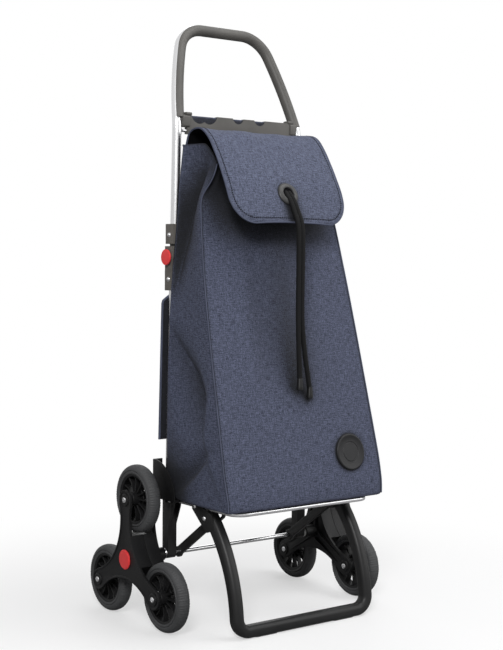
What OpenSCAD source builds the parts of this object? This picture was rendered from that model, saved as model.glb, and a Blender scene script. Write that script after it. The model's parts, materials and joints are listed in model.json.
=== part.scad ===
// Folding shopping trolley with stair-climbing wheel clusters.
// Millimetres, +Z up, front faces -Y, ground at Z = 0.
// The origin is on the ground, at the middle of the whole trolley's length and width.

/* [Wheels] */
// Outer diameter of each wheel
wheel_d = 122; // [100:1:125]
// Width of each tyre
tyre_w = 24; // [18:1:26]
// Distance from the axle to each wheel's bolt
arm_r = 106.7; // [100:0.1:115]
// Number of spokes in each rim
spokes = 10; // [5:1:14]

/* [Frame] */
// Distance from the middle plane to each leg's centre
leg_x = 151.5; // [150:0.5:153]
// Width of the square leg
leg_w = 18.5; // [16:0.5:20]
// Diameter of the aluminium tube
tube_d = 17; // [16:0.5:17.5]
// Height of the fold axis in the handle tubes
fold_z = 653; // [620:1:680]
// Angle by which each tube leans towards the middle
tube_lean = 1.05; // [0.7:0.05:1.1]

/* [Handle] */
// Backward tilt of the handle loop
loop_tilt = 17.8; // [10:0.1:22]
// Height at which the tubes bend back into the loop
bend_z = 894; // [885:1:900]
// Radius of the loop's rounded corners
loop_corner = 60; // [55:1:65]

/* [Foot] */
// Distance from the middle plane to the foot's outer side
foot_x = 158; // [156:0.5:159]
// Distance from the axle to the front of the foot
foot_reach = 216; // [205:1:220]

/* [Bag] */
// Height of the underside of the bag
bag_z = 222; // [221:0.5:224]
// Thickness of the bag's wall
bag_wall = 2.5; // [2:0.5:4]
// Height of the bag's side opening
mouth_z = 852; // [840:1:860]

/* [Hidden] */
$fn = 64;
slip = 0.05;
gap = 0.5;

// Wheel cluster, measured along X from the middle plane
hub_z = wheel_d / 2 + arm_r / 2;
rear_reach = arm_r * cos(30) + wheel_d / 2;
axle_y = (foot_reach - rear_reach) / 2;
plate_in = 192;
plate_out = 246;
plate_t = 4;
rim_edge = 1.5;
wheel_x = (plate_in + plate_out) / 2;
bolt_r = 4;
axle_r = 4;
tip_r = 18;
arm_half = 15;
web_r = 110;
web_c = (web_r + arm_half) / sin(60);
cup_r = wheel_d / 2 + 3.5;
wall = 3;
boss_r = 12;
bush_r = 8;
arm_angles = [90, 210, 330];
seat_r = wheel_d / 2 - 16;
button_r = 14.4;
ear_r = 12.4;
cap_r = 17.5;

// Platform and foot, measured from the axle
pivot_y = -16;
rail_z = 214;
rail_r = 4;
rail_x = 150;
rail_front = -204;
rail_bend = 22;
board_half = 153;
board_front = -208;
board_rear = -27;
pin_r = 3;
knee_y = -88.6;
tie_y = -118.7;
tie_z = 196.7;
foot_w = 22;
foot_t = 27;
foot_curve = 280;
foot_cy = foot_curve - foot_reach;
foot_cz = 12;
strut_x = 127;
strut_t = 7;

// Handle: the tubes bend back, then run round a loop in a tilted plane
leg_lean = 8;
side_r = 835;
side_turn = 10.1;
corner_turn = 90 - leg_lean - side_turn;
tube_wall = 1.5;
grip_r = 10.4;
tube_top = fold_z + 27;
tube_foot = 188;
bend_r = 60;
tube_dir = [-sin(tube_lean), 0, cos(tube_lean)];
loop_dir = [-sin(leg_lean), cos(leg_lean) * sin(loop_tilt), cos(leg_lean) * cos(loop_tilt)];
bend_turn = acos(tube_dir * loop_dir);
bend_len = bend_r * tan(bend_turn / 2);
bend_x = leg_x - (bend_z - 205) * tan(tube_lean);
loop_half = bend_x + bend_len * loop_dir[0];
loop_y = bend_len * loop_dir[1];
loop_z = bend_z + bend_len * loop_dir[2];

// ---- helpers ----

// Lays a shape that was drawn around Z along X, at a place given from the axle
module along_x(x, y, z) translate([x, axle_y + y, z]) rotate([0, 90, 0]) children();

// A round bar along X from x0 to x1
module bar(x0, x1, y, z, r) along_x(min(x0, x1), y, z) cylinder(r = r, h = abs(x1 - x0));

// An outline in the Y-Z plane, measured from the axle, extruded from x0 to x1
module slab(x0, x1) translate([min(x0, x1), axle_y, 0]) rotate([90, 0, 90])
  linear_extrude(abs(x1 - x0)) children();

// An outline in the X-Z plane extruded from y0 to y1, measured from the axle
module front_slab(y0, y1) translate([0, axle_y + y1, 0]) rotate([90, 0, 0])
  linear_extrude(y1 - y0) children();

// One side's line of tubes: leans inward from the top of the leg
module tube_line(s) translate([s * leg_x, axle_y, 205]) rotate([0, -s * tube_lean, 0]) children();

// Half-width of the tube line at height z
function tube_x(z) = leg_x - (z - 205) * tan(tube_lean);

// ---- wheels ----

module wheel_place(s, a) along_x(s * wheel_x, arm_r * cos(a), hub_z + arm_r * sin(a)) children();

module tyre(s, a) color([0.2, 0.2, 0.21]) wheel_place(s, a) rotate_extrude() difference() {
  translate([seat_r, -tyre_w / 2]) union() {
    square([16 - tyre_w / 3, tyre_w]);
    translate([16 - tyre_w / 3, tyre_w / 3]) circle(r = tyre_w / 3);
    translate([16 - tyre_w / 3, tyre_w * 2 / 3]) circle(r = tyre_w / 3);
    translate([6, tyre_w / 3]) square([10, tyre_w / 3]);
  }
  for (e = [-1, 1]) translate([seat_r + 5, e * tyre_w / 2]) circle(r = 1.4);
}

module rim(s, a) color([0.08, 0.08, 0.09]) wheel_place(s, a) {
  rotate_extrude() translate([seat_r - 4, -9]) square([4, 18]);
  rotate_extrude() translate([bolt_r + slip, -17]) square([8, 34]);
  for (i = [0:spokes - 1]) rotate([0, 0, i * 360 / spokes])
    translate([11, -1.6, -6]) cube([seat_r - 14, 3.2, 12]);
}

// ---- wheel cluster ----

// Three-armed outline with concave sides; grow moves its edge outward
module star(grow) difference() {
  union() {
    circle(r = 58 + grow);
    for (a = arm_angles) rotate(a) {
      translate([arm_r, 0]) circle(r = tip_r + grow);
      translate([0, -tip_r - grow]) square([arm_r, 2 * (tip_r + grow)]);
    }
  }
  for (a = arm_angles) rotate(a + 60) translate([web_c, 0]) circle(r = web_r - grow, $fn = 128);
}

// The part of the star that stays clear of the three wheels
module core(grow) difference() {
  star(grow);
  for (a = arm_angles) rotate(a) translate([arm_r, 0]) circle(r = cup_r - grow);
}

// Extrudes a cluster outline from x0 to x1 on side s
module cluster_slab(s, x0, x1) translate([0, axle_y, hub_z]) rotate([90, 0, 90])
  translate([0, 0, s > 0 ? x0 : -x1]) linear_extrude(x1 - x0) children();

module tip_holes(r) for (a = arm_angles) rotate(a) translate([arm_r, 0]) circle(r = r);

module cluster_outer(s) color([0.09, 0.09, 0.1]) difference() {
  union() {
    cluster_slab(s, plate_out - plate_t, plate_out) star(0);
    cluster_slab(s, plate_out, plate_out + rim_edge) difference() {
      star(0);
      star(-3);
    }
    cluster_slab(s, wheel_x + gap, plate_out - plate_t) difference() {
      core(0);
      core(-wall);
    }
    cluster_slab(s, wheel_x + gap, plate_out - plate_t) circle(r = boss_r);
  }
  cluster_slab(s, plate_in, plate_out + 5) union() {
    tip_holes(bolt_r + slip);
    circle(r = bush_r + slip);
  }
}

module cluster_inner(s) color([0.09, 0.09, 0.1]) difference() {
  union() {
    cluster_slab(s, plate_in, plate_in + plate_t) star(0);
    cluster_slab(s, plate_in + plate_t, wheel_x) difference() {
      core(0);
      core(-wall);
    }
    cluster_slab(s, 166, wheel_x) circle(r = boss_r);
  }
  cluster_slab(s, 160, plate_out) union() {
    tip_holes(bolt_r + slip);
    circle(r = bush_r + slip);
  }
}

module hub_bush(s) color([0.75, 0.75, 0.72]) cluster_slab(s, 165.5, plate_out - 1) difference() {
  circle(r = bush_r);
  circle(r = axle_r + slip);
}

module hub_cap(s) color([0.86, 0.2, 0.24]) {
  cluster_slab(s, plate_out + 0.1, plate_out + 2) circle(r = cap_r);
  cluster_slab(s, plate_out + 2, plate_out + 3) circle(r = cap_r - 1.5);
}

module wheel_bolts(s) color([0.1, 0.1, 0.1]) {
  cluster_slab(s, plate_in - 3, plate_out + 2) tip_holes(bolt_r);
  cluster_slab(s, plate_out + 0.01, plate_out + 3) tip_holes(8);
  cluster_slab(s, plate_in - 4, plate_in - 0.01) tip_holes(7);
}

// ---- axle and legs ----

module axle() color([0.8, 0.8, 0.82]) bar(-plate_out + 3, plate_out - 3, 0, hub_z, axle_r);

module axle_clips() color([0.85, 0.85, 0.87]) for (s = [-1, 1]) difference() {
  bar(s * 161.5, s * 164.5, 0, hub_z, 9);
  bar(s * 160, s * 166, 0, hub_z, axle_r + slip);
}

// A square tube with a rounded foot and a bracket that carries the platform's pivot
module leg(s) color([0.07, 0.07, 0.08]) difference() {
  union() {
    translate([s * leg_x - leg_w / 2, axle_y - leg_w / 2, hub_z]) cube([leg_w, leg_w, 212 - hub_z]);
    bar(s * (leg_x - leg_w / 2), s * (leg_x + leg_w / 2), 0, hub_z, leg_w / 2);
    slab(s * 155.5, s * (leg_x + leg_w / 2))
      polygon([[0, 168], [-9, 168], [-24, 204], [-24, 221], [0, 221]]);
    slab(s * (leg_x - leg_w / 2), s * 144.5)
      polygon([[0, 168], [-9, 168], [-24, 204], [-24, 221], [0, 221]]);
  }
  translate([s * leg_x - leg_w / 2 + tube_wall, axle_y - leg_w / 2 + tube_wall, hub_z + 12])
    cube([leg_w - 2 * tube_wall, leg_w - 2 * tube_wall, tube_foot - hub_z - 12]);
  tube_line(s) translate([0, 0, tube_foot - 205]) cylinder(d = tube_d + 2 * slip, h = 60);
  bar(s * 140, s * 163, 0, hub_z, axle_r + slip);
  bar(s * 140, s * 163, pivot_y, rail_z, pin_r + slip);
}

module lower_tube(s) color([0.82, 0.82, 0.84])
  tube_line(s) translate([0, 0, tube_foot + 1 - 205]) difference() {
    cylinder(d = tube_d, h = fold_z - 31 - tube_foot);
    translate([0, 0, -1]) cylinder(d = tube_d - 2 * tube_wall, h = fold_z - 29 - tube_foot);
  }

// Side shell that guards the bag's rear bottom corner: quarter-round front, open at the top
module guard(s) color([0.07, 0.07, 0.08]) difference() {
  slab(s * 161, s * 181) intersection() {
    translate([-60, 218]) square([71, 70]);
    translate([11, 218]) circle(r = 71, $fn = 128);
  }
  slab(s * 160, s * 178.5) translate([-100, 220.5]) square([109, 80]);
}

// ---- fold hinges ----

module hinge_lower(s) color([0.38, 0.37, 0.35]) difference() {
  union() {
    translate([s * tube_x(fold_z - 40) - 12, axle_y - 12, fold_z - 60]) cube([24, 24, 36]);
    bar(s * 146.5, s * 156.5, 0, fold_z, ear_r);
    translate([min(s * 146.5, s * 156.5), axle_y - 11, fold_z - 25]) cube([10, 22, 45]);
  }
  bar(s * 130, s * 170, 0, fold_z, 6 + slip);
  tube_line(s) translate([0, 0, fold_z - 62 - 205]) cylinder(d = tube_d + 0.1, h = 34);
}

module hinge_upper(s) color([0.38, 0.37, 0.35]) difference() {
  union() {
    translate([s * tube_x(fold_z + 40) - 12, axle_y - 12, fold_z + 24]) cube([24, 24, 36]);
    bar(s * 134, s * 146, 0, fold_z, ear_r);
    translate([min(s * 134, s * 146), axle_y - 11, fold_z]) cube([12, 22, 25]);
  }
  bar(s * 130, s * 170, 0, fold_z, 6 + slip);
  tube_line(s) translate([0, 0, tube_top - 205 - 1]) cylinder(d = tube_d + 0.1, h = 40);
}

// Dome-headed rivets that pin each socket to its tube
module socket_rivets(z) color([0.85, 0.85, 0.85]) for (s = [-1, 1])
  bar(s * (tube_x(z) + 12.02), s * (tube_x(z) + 14.5), 0, z, 4.5);

// Push button: a round head outside and a stem through both ears
module lock_button(s) color([0.86, 0.2, 0.24]) {
  bar(s * 159.5, s * 163.3, 0, fold_z, button_r);
  bar(s * 141, s * 159.5, 0, fold_z, 6);
}

// ---- handle ----

// Puts a shape drawn in the loop's own plane, X across and Y up the loop, into place
module loop_plane() translate([0, axle_y + loop_y, loop_z]) rotate([90 - loop_tilt, 0, 0]) children();

// Sweeps a section round the right half of the loop; the section's +X points outward.
// Neighbouring stretches stop 0.02 mm short of each other, so each is a plain exact solid.
module half_loop() {
  side_c = [loop_half - side_r * cos(leg_lean), -side_r * sin(leg_lean)];
  side_end = leg_lean + side_turn;
  corner_c = side_c + (side_r - loop_corner) * [cos(side_end), sin(side_end)];
  translate(side_c) rotate(leg_lean) rotate_extrude(angle = side_turn - 0.002)
    translate([side_r, 0]) children();
  translate(corner_c) rotate(side_end) rotate_extrude(angle = corner_turn - 0.02)
    translate([loop_corner, 0]) children();
}

// The straight top of the loop, drawn with the same section
module loop_top() {
  side_end = leg_lean + side_turn;
  corner = [loop_half - side_r * cos(leg_lean), -side_r * sin(leg_lean)]
    + (side_r - loop_corner) * [cos(side_end), sin(side_end)];
  translate([-corner[0], corner[1] + loop_corner]) rotate([90, 0, 90])
    linear_extrude(2 * corner[0]) children();
}

module whole_loop() loop_plane() {
  half_loop() children();
  mirror([1, 0, 0]) half_loop() children();
  loop_top() children();
}

// Turns from the straight tube into the loop, on the right-hand side
module tube_bend() {
  across = loop_dir - (tube_dir * loop_dir) * tube_dir;
  out = -across / norm(across);
  side = cross(out, tube_dir);
  start = [bend_x, 0, bend_z] - bend_len * tube_dir;
  centre = start - bend_r * out;
  translate([centre[0], axle_y + centre[1], centre[2]])
    multmatrix([[out[0], tube_dir[0], side[0], 0], [out[1], tube_dir[1], side[1], 0],
                [out[2], tube_dir[2], side[2], 0], [0, 0, 0, 1]])
    rotate_extrude(angle = bend_turn - 0.02) translate([bend_r, 0]) circle(d = tube_d);
}

module handle_tube() color([0.82, 0.82, 0.84]) {
  for (s = [-1, 1]) tube_line(s) translate([0, 0, tube_top - 205])
    cylinder(d = tube_d, h = (bend_z - 205) / cos(tube_lean) - bend_len - (tube_top - 205) - 0.02);
  tube_bend();
  mirror([1, 0, 0]) tube_bend();
  whole_loop() circle(d = tube_d);
}

// Half-round grip clipped over the front and inner side of the loop
module grip_section() difference() {
  intersection() {
    translate([-2.6, 2]) circle(r = grip_r);
    rotate(143) translate([0.5, -20]) square(40);
  }
  circle(d = tube_d + 0.02);
}

module handle_grip() color([0.36, 0.35, 0.34]) whole_loop() grip_section();

// ---- hanger ----

hanger_reach = 130;

// Cross-piece from which the bag hangs, with scallops in its upper edge
module hanger_bar() color([0.34, 0.34, 0.33]) difference() {
  front_slab(-7, 2) difference() {
    polygon([[-121, 876], [121, 876], [120, 911], [-120, 911]]);
    translate([-94, 914]) circle(r = 18);
    translate([-72, 914]) circle(r = 18);
    translate([-6, 914]) circle(r = 13);
    translate([44, 914]) circle(r = 13);
  }
  bar(-140, 140, -2.5, 882, 3 + slip);
}

// Rod through the cross-piece, from tube to tube
module hanger_rod() color([0.8, 0.8, 0.82]) bar(-hanger_reach, hanger_reach, -2.5, 882, 3);

// ---- platform ----

// Rounded U outline of the platform's rail, seen from above, at the given half-width
module rail_outline(half, front) union() {
  translate([-half, front + rail_bend]) square([2 * half, pivot_y - front - rail_bend]);
  translate([-half + rail_bend, front]) square([2 * (half - rail_bend), rail_bend + 1]);
  for (s = [-1, 1]) translate([s * (half - rail_bend), front + rail_bend]) circle(r = rail_bend);
}

module platform_frame() color([0.82, 0.82, 0.84]) difference() {
  union() {
    translate([0, axle_y, rail_z - rail_r]) linear_extrude(2 * rail_r) difference() {
      rail_outline(rail_x + rail_r, rail_front - rail_r);
      rail_outline(rail_x - rail_r, rail_front + rail_r);
    }
    for (s = [-1, 1]) bar(s * (rail_x - rail_r), s * (rail_x + rail_r), pivot_y, rail_z, 6);
    for (y = [-60, -184]) translate([-rail_x, axle_y + y, rail_z - 1.5]) cube([2 * rail_x, 3, 3]);
  }
  for (s = [-1, 1]) {
    bar(s * 140, s * 160, pivot_y, rail_z, pin_r + slip);
    bar(s * 140, s * 160, knee_y, rail_z, pin_r + slip);
  }
}

module platform_pins() color([0.85, 0.85, 0.87]) for (s = [-1, 1]) {
  bar(s * 141.8, s * 162, pivot_y, rail_z, pin_r);
  bar(s * 160.76, s * 163, pivot_y, rail_z, 3.9);
}

module knee_rivets() color([0.85, 0.85, 0.87]) for (s = [-1, 1]) {
  bar(s * 146, s * (foot_x + 1), knee_y, rail_z, pin_r);
  bar(s * (foot_x + 0.02), s * (foot_x + 2.5), knee_y, rail_z, 4.5);
}

// Stiff board under the bag, resting on the platform
module base_board() color([0.1, 0.1, 0.1])
  translate([-board_half, axle_y + board_front, rail_z + rail_r + 0.3])
  cube([2 * board_half, board_rear - board_front, 3]);

// ---- struts and foot ----

strut_len = norm([tie_y, tie_z - hub_z]);
strut_up = atan2(tie_z - hub_z, -tie_y);
slot_half = 6.5;
slot_ends = [strut_len, strut_len + 15];

// Flat bar from the axle to the foot. The foot's pin floats in the slot at its front end.
module strut(s) color([0.07, 0.07, 0.08])
  along_x(s > 0 ? strut_x : -strut_x - strut_t, 0, hub_z) rotate(180 - strut_up)
  linear_extrude(strut_t) difference() {
    union() {
      circle(r = 10);
      translate([-8, 0]) square([16, strut_len]);
      for (y = slot_ends) translate([0, y]) circle(r = 10.5);
      translate([-10.5, slot_ends[0]]) square([21, slot_ends[1] - slot_ends[0]]);
    }
    circle(r = axle_r + slip);
    for (y = slot_ends) translate([0, y]) circle(r = slot_half);
    translate([-slot_half, slot_ends[0]]) square([2 * slot_half, slot_ends[1] - slot_ends[0]]);
  }

// Outline of the curved arms, seen from the side
module foot_side() difference() {
  translate([foot_cy, foot_cz]) circle(r = foot_curve, $fn = 256);
  translate([foot_cy, foot_cz]) circle(r = foot_curve - foot_t, $fn = 256);
  translate([-100, -400]) square([600, 800]);
  translate([-400, 207]) square([800, 200]);
}

module foot_bow() color([0.08, 0.08, 0.09]) difference() {
  union() {
    intersection() {
      slab(-foot_x, foot_x) foot_side();
      front_slab(-230, -60) difference() {
        union() {
          translate([-foot_x, 34]) square([2 * foot_x, 300]);
          translate([-foot_x + 34, 0]) square([2 * foot_x - 68, 60]);
          for (s = [-1, 1]) translate([s * (foot_x - 34), 34]) circle(r = 34);
        }
        translate([-foot_x + foot_w, 36]) square([2 * (foot_x - foot_w), 400]);
        translate([-foot_x + foot_w + 14, 22]) square([2 * (foot_x - foot_w - 14), 60]);
        for (s = [-1, 1]) translate([s * (foot_x - foot_w - 14), 36]) circle(r = 14);
      }
    }
    for (s = [-1, 1]) {
      slab(s * (foot_x - 3.5), s * foot_x)
        polygon([[-80, 207], [-84, 221], [-93, 221], [-140, 207], [-150, 180], [-124, 172], [-100, 192]]);
      slab(s * (foot_x - foot_w), s * foot_x)
        polygon([[-96, 200], [-140, 200], [-150, 180], [-124, 172]]);
    }
  }
  for (s = [-1, 1]) {
    bar(s * 130, s * 165, knee_y, rail_z, pin_r + slip);
    bar(s * 130, s * 165, tie_y, tie_z, 3.5);
  }
}

module foot_pins() color([0.85, 0.85, 0.87]) for (s = [-1, 1]) {
  bar(s * 125, s * (foot_x + 1), tie_y, tie_z, 3.5);
  bar(s * (foot_x + 0.02), s * (foot_x + 2.5), tie_y, tie_z, 4.5);
}

// ---- bag ----

// Front and side outlines of the bag; inset moves them inward
module bag_front(inset) polygon([
  [-176 + inset, 200], [-176 + inset, 240], [-172 + inset, 450], [-152 + inset, 700],
  [-150 + inset, 900], [150 - inset, 900], [152 - inset, 700], [172 - inset, 450],
  [176 - inset, 240], [176 - inset, 200]]);

module bag_side(inset) polygon([
  [-13 - inset, 200], [-216 + inset, 200], [-216 + inset, 226], [-154 + inset, 486],
  [-98 + inset, 700], [-84 + inset, 900], [-13 - inset, 900]]);

module bag_solid(inset, z0, z1) intersection() {
  slab(-200, 200) bag_side(inset);
  front_slab(-300, 0) bag_front(inset);
  translate([-200, axle_y - 300, z0]) cube([400, 400, z1 - z0]);
}

module bag_lower() color([0.3, 0.32, 0.42]) difference() {
  bag_solid(0, bag_z, 600);
  bag_solid(bag_wall, bag_z + bag_wall, 700);
}

module bag_upper() color([0.3, 0.32, 0.42]) difference() {
  bag_solid(0, 601, mouth_z);
  bag_solid(bag_wall, 500, 900);
}

module rear_pocket() color([0.28, 0.3, 0.4]) front_slab(11, 14)
  polygon([[-166, 322], [166, 322], [160, 575], [140, 590], [-140, 590], [-160, 575]]);

// ---- flap ----

// Inner surface of the flap in side view, from the hanger to the lower edge
flap_pts = [[-20, 874], [-36, 881], [-58, 881], [-79, 870], [-95, 852],
            [-120, 819], [-142, 780], [-158, 745], [-167, 713]];
flap_half = 130;
flap_t = 2.5;

// Unit normal of the flap at point i, facing outward
function flap_normal(i) =
  let (a = flap_pts[max(i - 1, 0)], b = flap_pts[min(i + 1, len(flap_pts) - 1)], d = b - a)
  [d[1], -d[0]] / norm(d);

module flap_side(t) {
  last = len(flap_pts) - 1;
  polygon(concat(flap_pts, [for (i = [last:-1:0]) flap_pts[i] + t * flap_normal(i)]));
}

module flap() color([0.33, 0.35, 0.46]) intersection() {
  slab(-flap_half, flap_half) flap_side(flap_t);
  front_slab(-200, 0) union() {
    translate([-flap_half, 740]) square([2 * flap_half, 160]);
    translate([-flap_half + 26, 712]) square([2 * flap_half - 52, 60]);
    for (s = [-1, 1]) translate([s * (flap_half - 26), 740]) circle(r = 26);
  }
}

// Things on the flap share the slope of its front sheet
flap_slope = atan2(158 - 142, 780 - 745);
eyelet_x = -6;
eyelet_z = 765;
eyelet_y = -142 - (780 - eyelet_z) * tan(flap_slope);

module on_flap(out) translate([eyelet_x, axle_y + eyelet_y, eyelet_z])
  rotate([90 - flap_slope, 0, 0]) translate([0, 0, out]) children();

module eyelet() color([0.16, 0.16, 0.17]) on_flap(flap_t + 0.3) difference() {
  cylinder(r = 21, h = 3);
  translate([0, 0, -1]) cylinder(r = 11.7, h = 6);
}

// Each cord comes out of the eyelet, bends over the flap and hangs in front of the bag
cord_r = 4;
cord_x = [1, 24];
cord_low = [440, 424];
cord_y = -185;

module cords() color([0.05, 0.05, 0.06]) for (i = [0, 1]) {
  top = [eyelet_x + (i == 0 ? -5 : 5), axle_y + eyelet_y - 17, eyelet_z - 3];
  knee = [i == 0 ? -6 : 5, axle_y - 182, 712];
  end = [cord_x[i], axle_y + cord_y, cord_low[i]];
  cord_leg(top, knee);
  cord_leg(knee - [0, 0, cord_r], end);
}

// A straight stretch of cord between two points
module cord_leg(a, b) {
  run = b - a;
  translate(a) rotate([0, acos(run[2] / norm(run)), atan2(run[1], run[0])])
    cylinder(r = cord_r, h = norm(run));
}

module cord_ends() color([0.05, 0.05, 0.06]) for (i = [0, 1])
  translate([cord_x[i], axle_y + cord_y, cord_low[i] - 21.5]) cylinder(r1 = 5.5, r2 = 4.2, h = 20.9);

// Plain round badge on the front panel
front_slope = atan2(216 - 154, 486 - 226);

module badge() color([0.05, 0.05, 0.05])
  translate([106, axle_y - 216 + (302 - 226) * tan(front_slope), 302])
  rotate([90 - front_slope, 0, 0]) translate([0, 0, 0.4]) cylinder(r = 33, h = 2.5);

// ---- one line for each node ----

tyre(-1, 90);  // tyre_left_top
tyre(-1, 330);  // tyre_left_rear
tyre(-1, 210);  // tyre_left_front
tyre(1, 90);  // tyre_right_top
tyre(1, 330);  // tyre_right_rear
tyre(1, 210);  // tyre_right_front
rim(-1, 90);  // rim_left_top
rim(-1, 330);  // rim_left_rear
rim(-1, 210);  // rim_left_front
rim(1, 90);  // rim_right_top
rim(1, 330);  // rim_right_rear
rim(1, 210);  // rim_right_front
cluster_outer(-1);  // cluster_outer_left
cluster_outer(1);  // cluster_outer_right
cluster_inner(-1);  // cluster_inner_left
cluster_inner(1);  // cluster_inner_right
hub_cap(-1);  // hub_cap_left
hub_cap(1);  // hub_cap_right
hub_bush(-1);  // hub_bush_left
hub_bush(1);  // hub_bush_right
wheel_bolts(-1);  // wheel_bolts_left
wheel_bolts(1);  // wheel_bolts_right
axle();
axle_clips();
leg(-1);  // leg_left
leg(1);  // leg_right
lower_tube(-1);  // lower_tube_left
lower_tube(1);  // lower_tube_right
guard(-1);  // guard_left
guard(1);  // guard_right
hinge_lower(-1);  // hinge_lower_left
hinge_lower(1);  // hinge_lower_right
hinge_upper(-1);  // hinge_upper_left
hinge_upper(1);  // hinge_upper_right
socket_rivets(fold_z - 40);  // hinge_rivets_lower
socket_rivets(fold_z + 40);  // hinge_rivets_upper
lock_button(-1);  // lock_button_left
lock_button(1);  // lock_button_right
handle_tube();
handle_grip();
hanger_bar();
hanger_rod();
platform_frame();
platform_pins();
knee_rivets();
strut(-1);  // strut_left
strut(1);  // strut_right
foot_bow();
foot_pins();
base_board();
bag_lower();
bag_upper();
rear_pocket();
flap();
eyelet();
cords();
cord_ends();
badge();
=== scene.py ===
"""Folding shopping trolley with stair-climbing wheels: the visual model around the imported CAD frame.
Lengths are in metres. The outlines of the bag, flap, cords and pocket are in millimetres, with Y measured
from the axle, and at() turns them into points."""
import json
import math

import bmesh
import bpy
from mathutils import Matrix, Vector, noise
from mathutils.kdtree import KDTree


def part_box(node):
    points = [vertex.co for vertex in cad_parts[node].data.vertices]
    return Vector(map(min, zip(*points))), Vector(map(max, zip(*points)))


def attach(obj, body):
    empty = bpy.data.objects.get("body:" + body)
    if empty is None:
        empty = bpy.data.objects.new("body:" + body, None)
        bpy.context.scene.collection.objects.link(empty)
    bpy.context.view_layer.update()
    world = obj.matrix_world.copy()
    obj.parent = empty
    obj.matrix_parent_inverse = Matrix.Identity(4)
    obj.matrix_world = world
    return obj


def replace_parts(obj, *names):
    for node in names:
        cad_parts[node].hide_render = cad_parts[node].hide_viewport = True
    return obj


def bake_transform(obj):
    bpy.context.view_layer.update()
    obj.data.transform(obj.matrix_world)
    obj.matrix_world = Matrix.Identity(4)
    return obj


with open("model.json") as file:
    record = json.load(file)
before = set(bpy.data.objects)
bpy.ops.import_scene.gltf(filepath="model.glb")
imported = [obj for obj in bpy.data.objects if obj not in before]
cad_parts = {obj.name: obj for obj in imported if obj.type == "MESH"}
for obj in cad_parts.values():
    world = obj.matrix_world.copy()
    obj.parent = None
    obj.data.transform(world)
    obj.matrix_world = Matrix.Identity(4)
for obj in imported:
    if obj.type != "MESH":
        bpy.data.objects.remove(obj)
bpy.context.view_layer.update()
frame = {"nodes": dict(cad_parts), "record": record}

MM = 0.001
SIDES = {"left": -1, "right": 1}
WHEELS = {"top": 90, "rear": 330, "front": 210}


def centre_of(node):
    low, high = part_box(node)
    return (low + high) / 2


AXLE = centre_of("axle")
AXLE_Y = AXLE.y


def at(x, y, z):
    """A point given in millimetres, with Y measured from the axle, as a point in the row frame."""
    return Vector((x * MM, AXLE_Y + y * MM, z * MM))


def ease(t):
    t = min(1.0, max(0.0, t))
    return t * t * (3 - 2 * t)


def along(stops, t):
    """Smooth interpolation through (place, value) stops."""
    if t <= stops[0][0]:
        return stops[0][1]
    for i in range(len(stops) - 1):
        (a, va), (b, vb) = stops[i], stops[i + 1]
        if t <= b:
            before = stops[i - 1] if i > 0 else stops[i]
            after = stops[i + 2] if i + 2 < len(stops) else stops[i + 1]
            ma = (vb - before[1]) / (b - before[0]) * (b - a)
            mb = (after[1] - va) / (after[0] - a) * (b - a)
            u = (t - a) / (b - a)
            u2, u3 = u * u, u * u * u
            return (va * (2 * u3 - 3 * u2 + 1) + ma * (u3 - 2 * u2 + u)
                    + vb * (3 * u2 - 2 * u3) + mb * (u3 - u2))
    return stops[-1][1]


# ---- materials ----


def new_material(name, color, rough, metal=0.0):
    made = bpy.data.materials.new(name)
    made.use_nodes = True
    made.diffuse_color = (*color, 1)
    nodes, links = made.node_tree.nodes, made.node_tree.links
    shader = nodes["Principled BSDF"]
    shader.inputs["Base Color"].default_value = (*color, 1)
    shader.inputs["Roughness"].default_value = rough
    shader.inputs["Metallic"].default_value = metal
    return made, nodes, links, shader


def coordinates(nodes, links, scale, kind="Object"):
    place = nodes.new("ShaderNodeTexCoord")
    mapping = nodes.new("ShaderNodeMapping")
    mapping.inputs["Scale"].default_value = scale
    links.new(place.outputs[kind], mapping.inputs["Vector"])
    return mapping.outputs["Vector"]


def noise_node(nodes, links, vector, scale, detail=3.0, rough=0.5):
    made = nodes.new("ShaderNodeTexNoise")
    made.inputs["Scale"].default_value = scale
    made.inputs["Detail"].default_value = detail
    made.inputs["Roughness"].default_value = rough
    links.new(vector, made.inputs["Vector"])
    return made.outputs["Fac"]


def ramp(nodes, links, value, stops):
    made = nodes.new("ShaderNodeValToRGB")
    points = made.color_ramp.elements
    while len(points) < len(stops):
        points.new(0.5)
    for point, (place, color) in zip(points, stops):
        point.position = place
        point.color = (*color, 1)
    links.new(value, made.inputs["Fac"])
    return made.outputs["Color"]


def maths(nodes, links, operation, *values):
    made = nodes.new("ShaderNodeMath")
    made.operation = operation
    for slot, value in zip(made.inputs, values):
        if isinstance(value, (int, float)):
            slot.default_value = value
        else:
            links.new(value, slot)
    return made.outputs["Value"]


def bump(nodes, links, shader, height, strength, distance):
    made = nodes.new("ShaderNodeBump")
    made.inputs["Strength"].default_value = strength
    made.inputs["Distance"].default_value = distance
    links.new(height, made.inputs["Height"])
    links.new(made.outputs["Normal"], shader.inputs["Normal"])


def shade(color, factor):
    return tuple(min(1.0, c * factor) for c in color)


def moulded(name, color, rough=0.5, grain=900.0, depth=0.00006, metal=0.0, spread=0.18, gleam=0.3):
    """Plastic, rubber or paint: a fine grain in the surface, and slow changes in colour and gloss."""
    made, nodes, links, shader = new_material(name, color, rough, metal)
    vector = coordinates(nodes, links, (1, 1, 1))
    slow = noise_node(nodes, links, vector, 14.0, 4.0)
    tone = ramp(nodes, links, slow, [(0.3, shade(color, 1 - spread)), (0.7, shade(color, 1 + spread))])
    links.new(tone, shader.inputs["Base Color"])
    fine = noise_node(nodes, links, vector, grain, 2.0)
    gloss = maths(nodes, links, "MULTIPLY_ADD", slow, 0.2, rough - 0.1)
    links.new(gloss, shader.inputs["Roughness"])
    shader.inputs["Specular IOR Level"].default_value = gleam
    bump(nodes, links, shader, fine, 0.5, depth)
    return made


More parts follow.
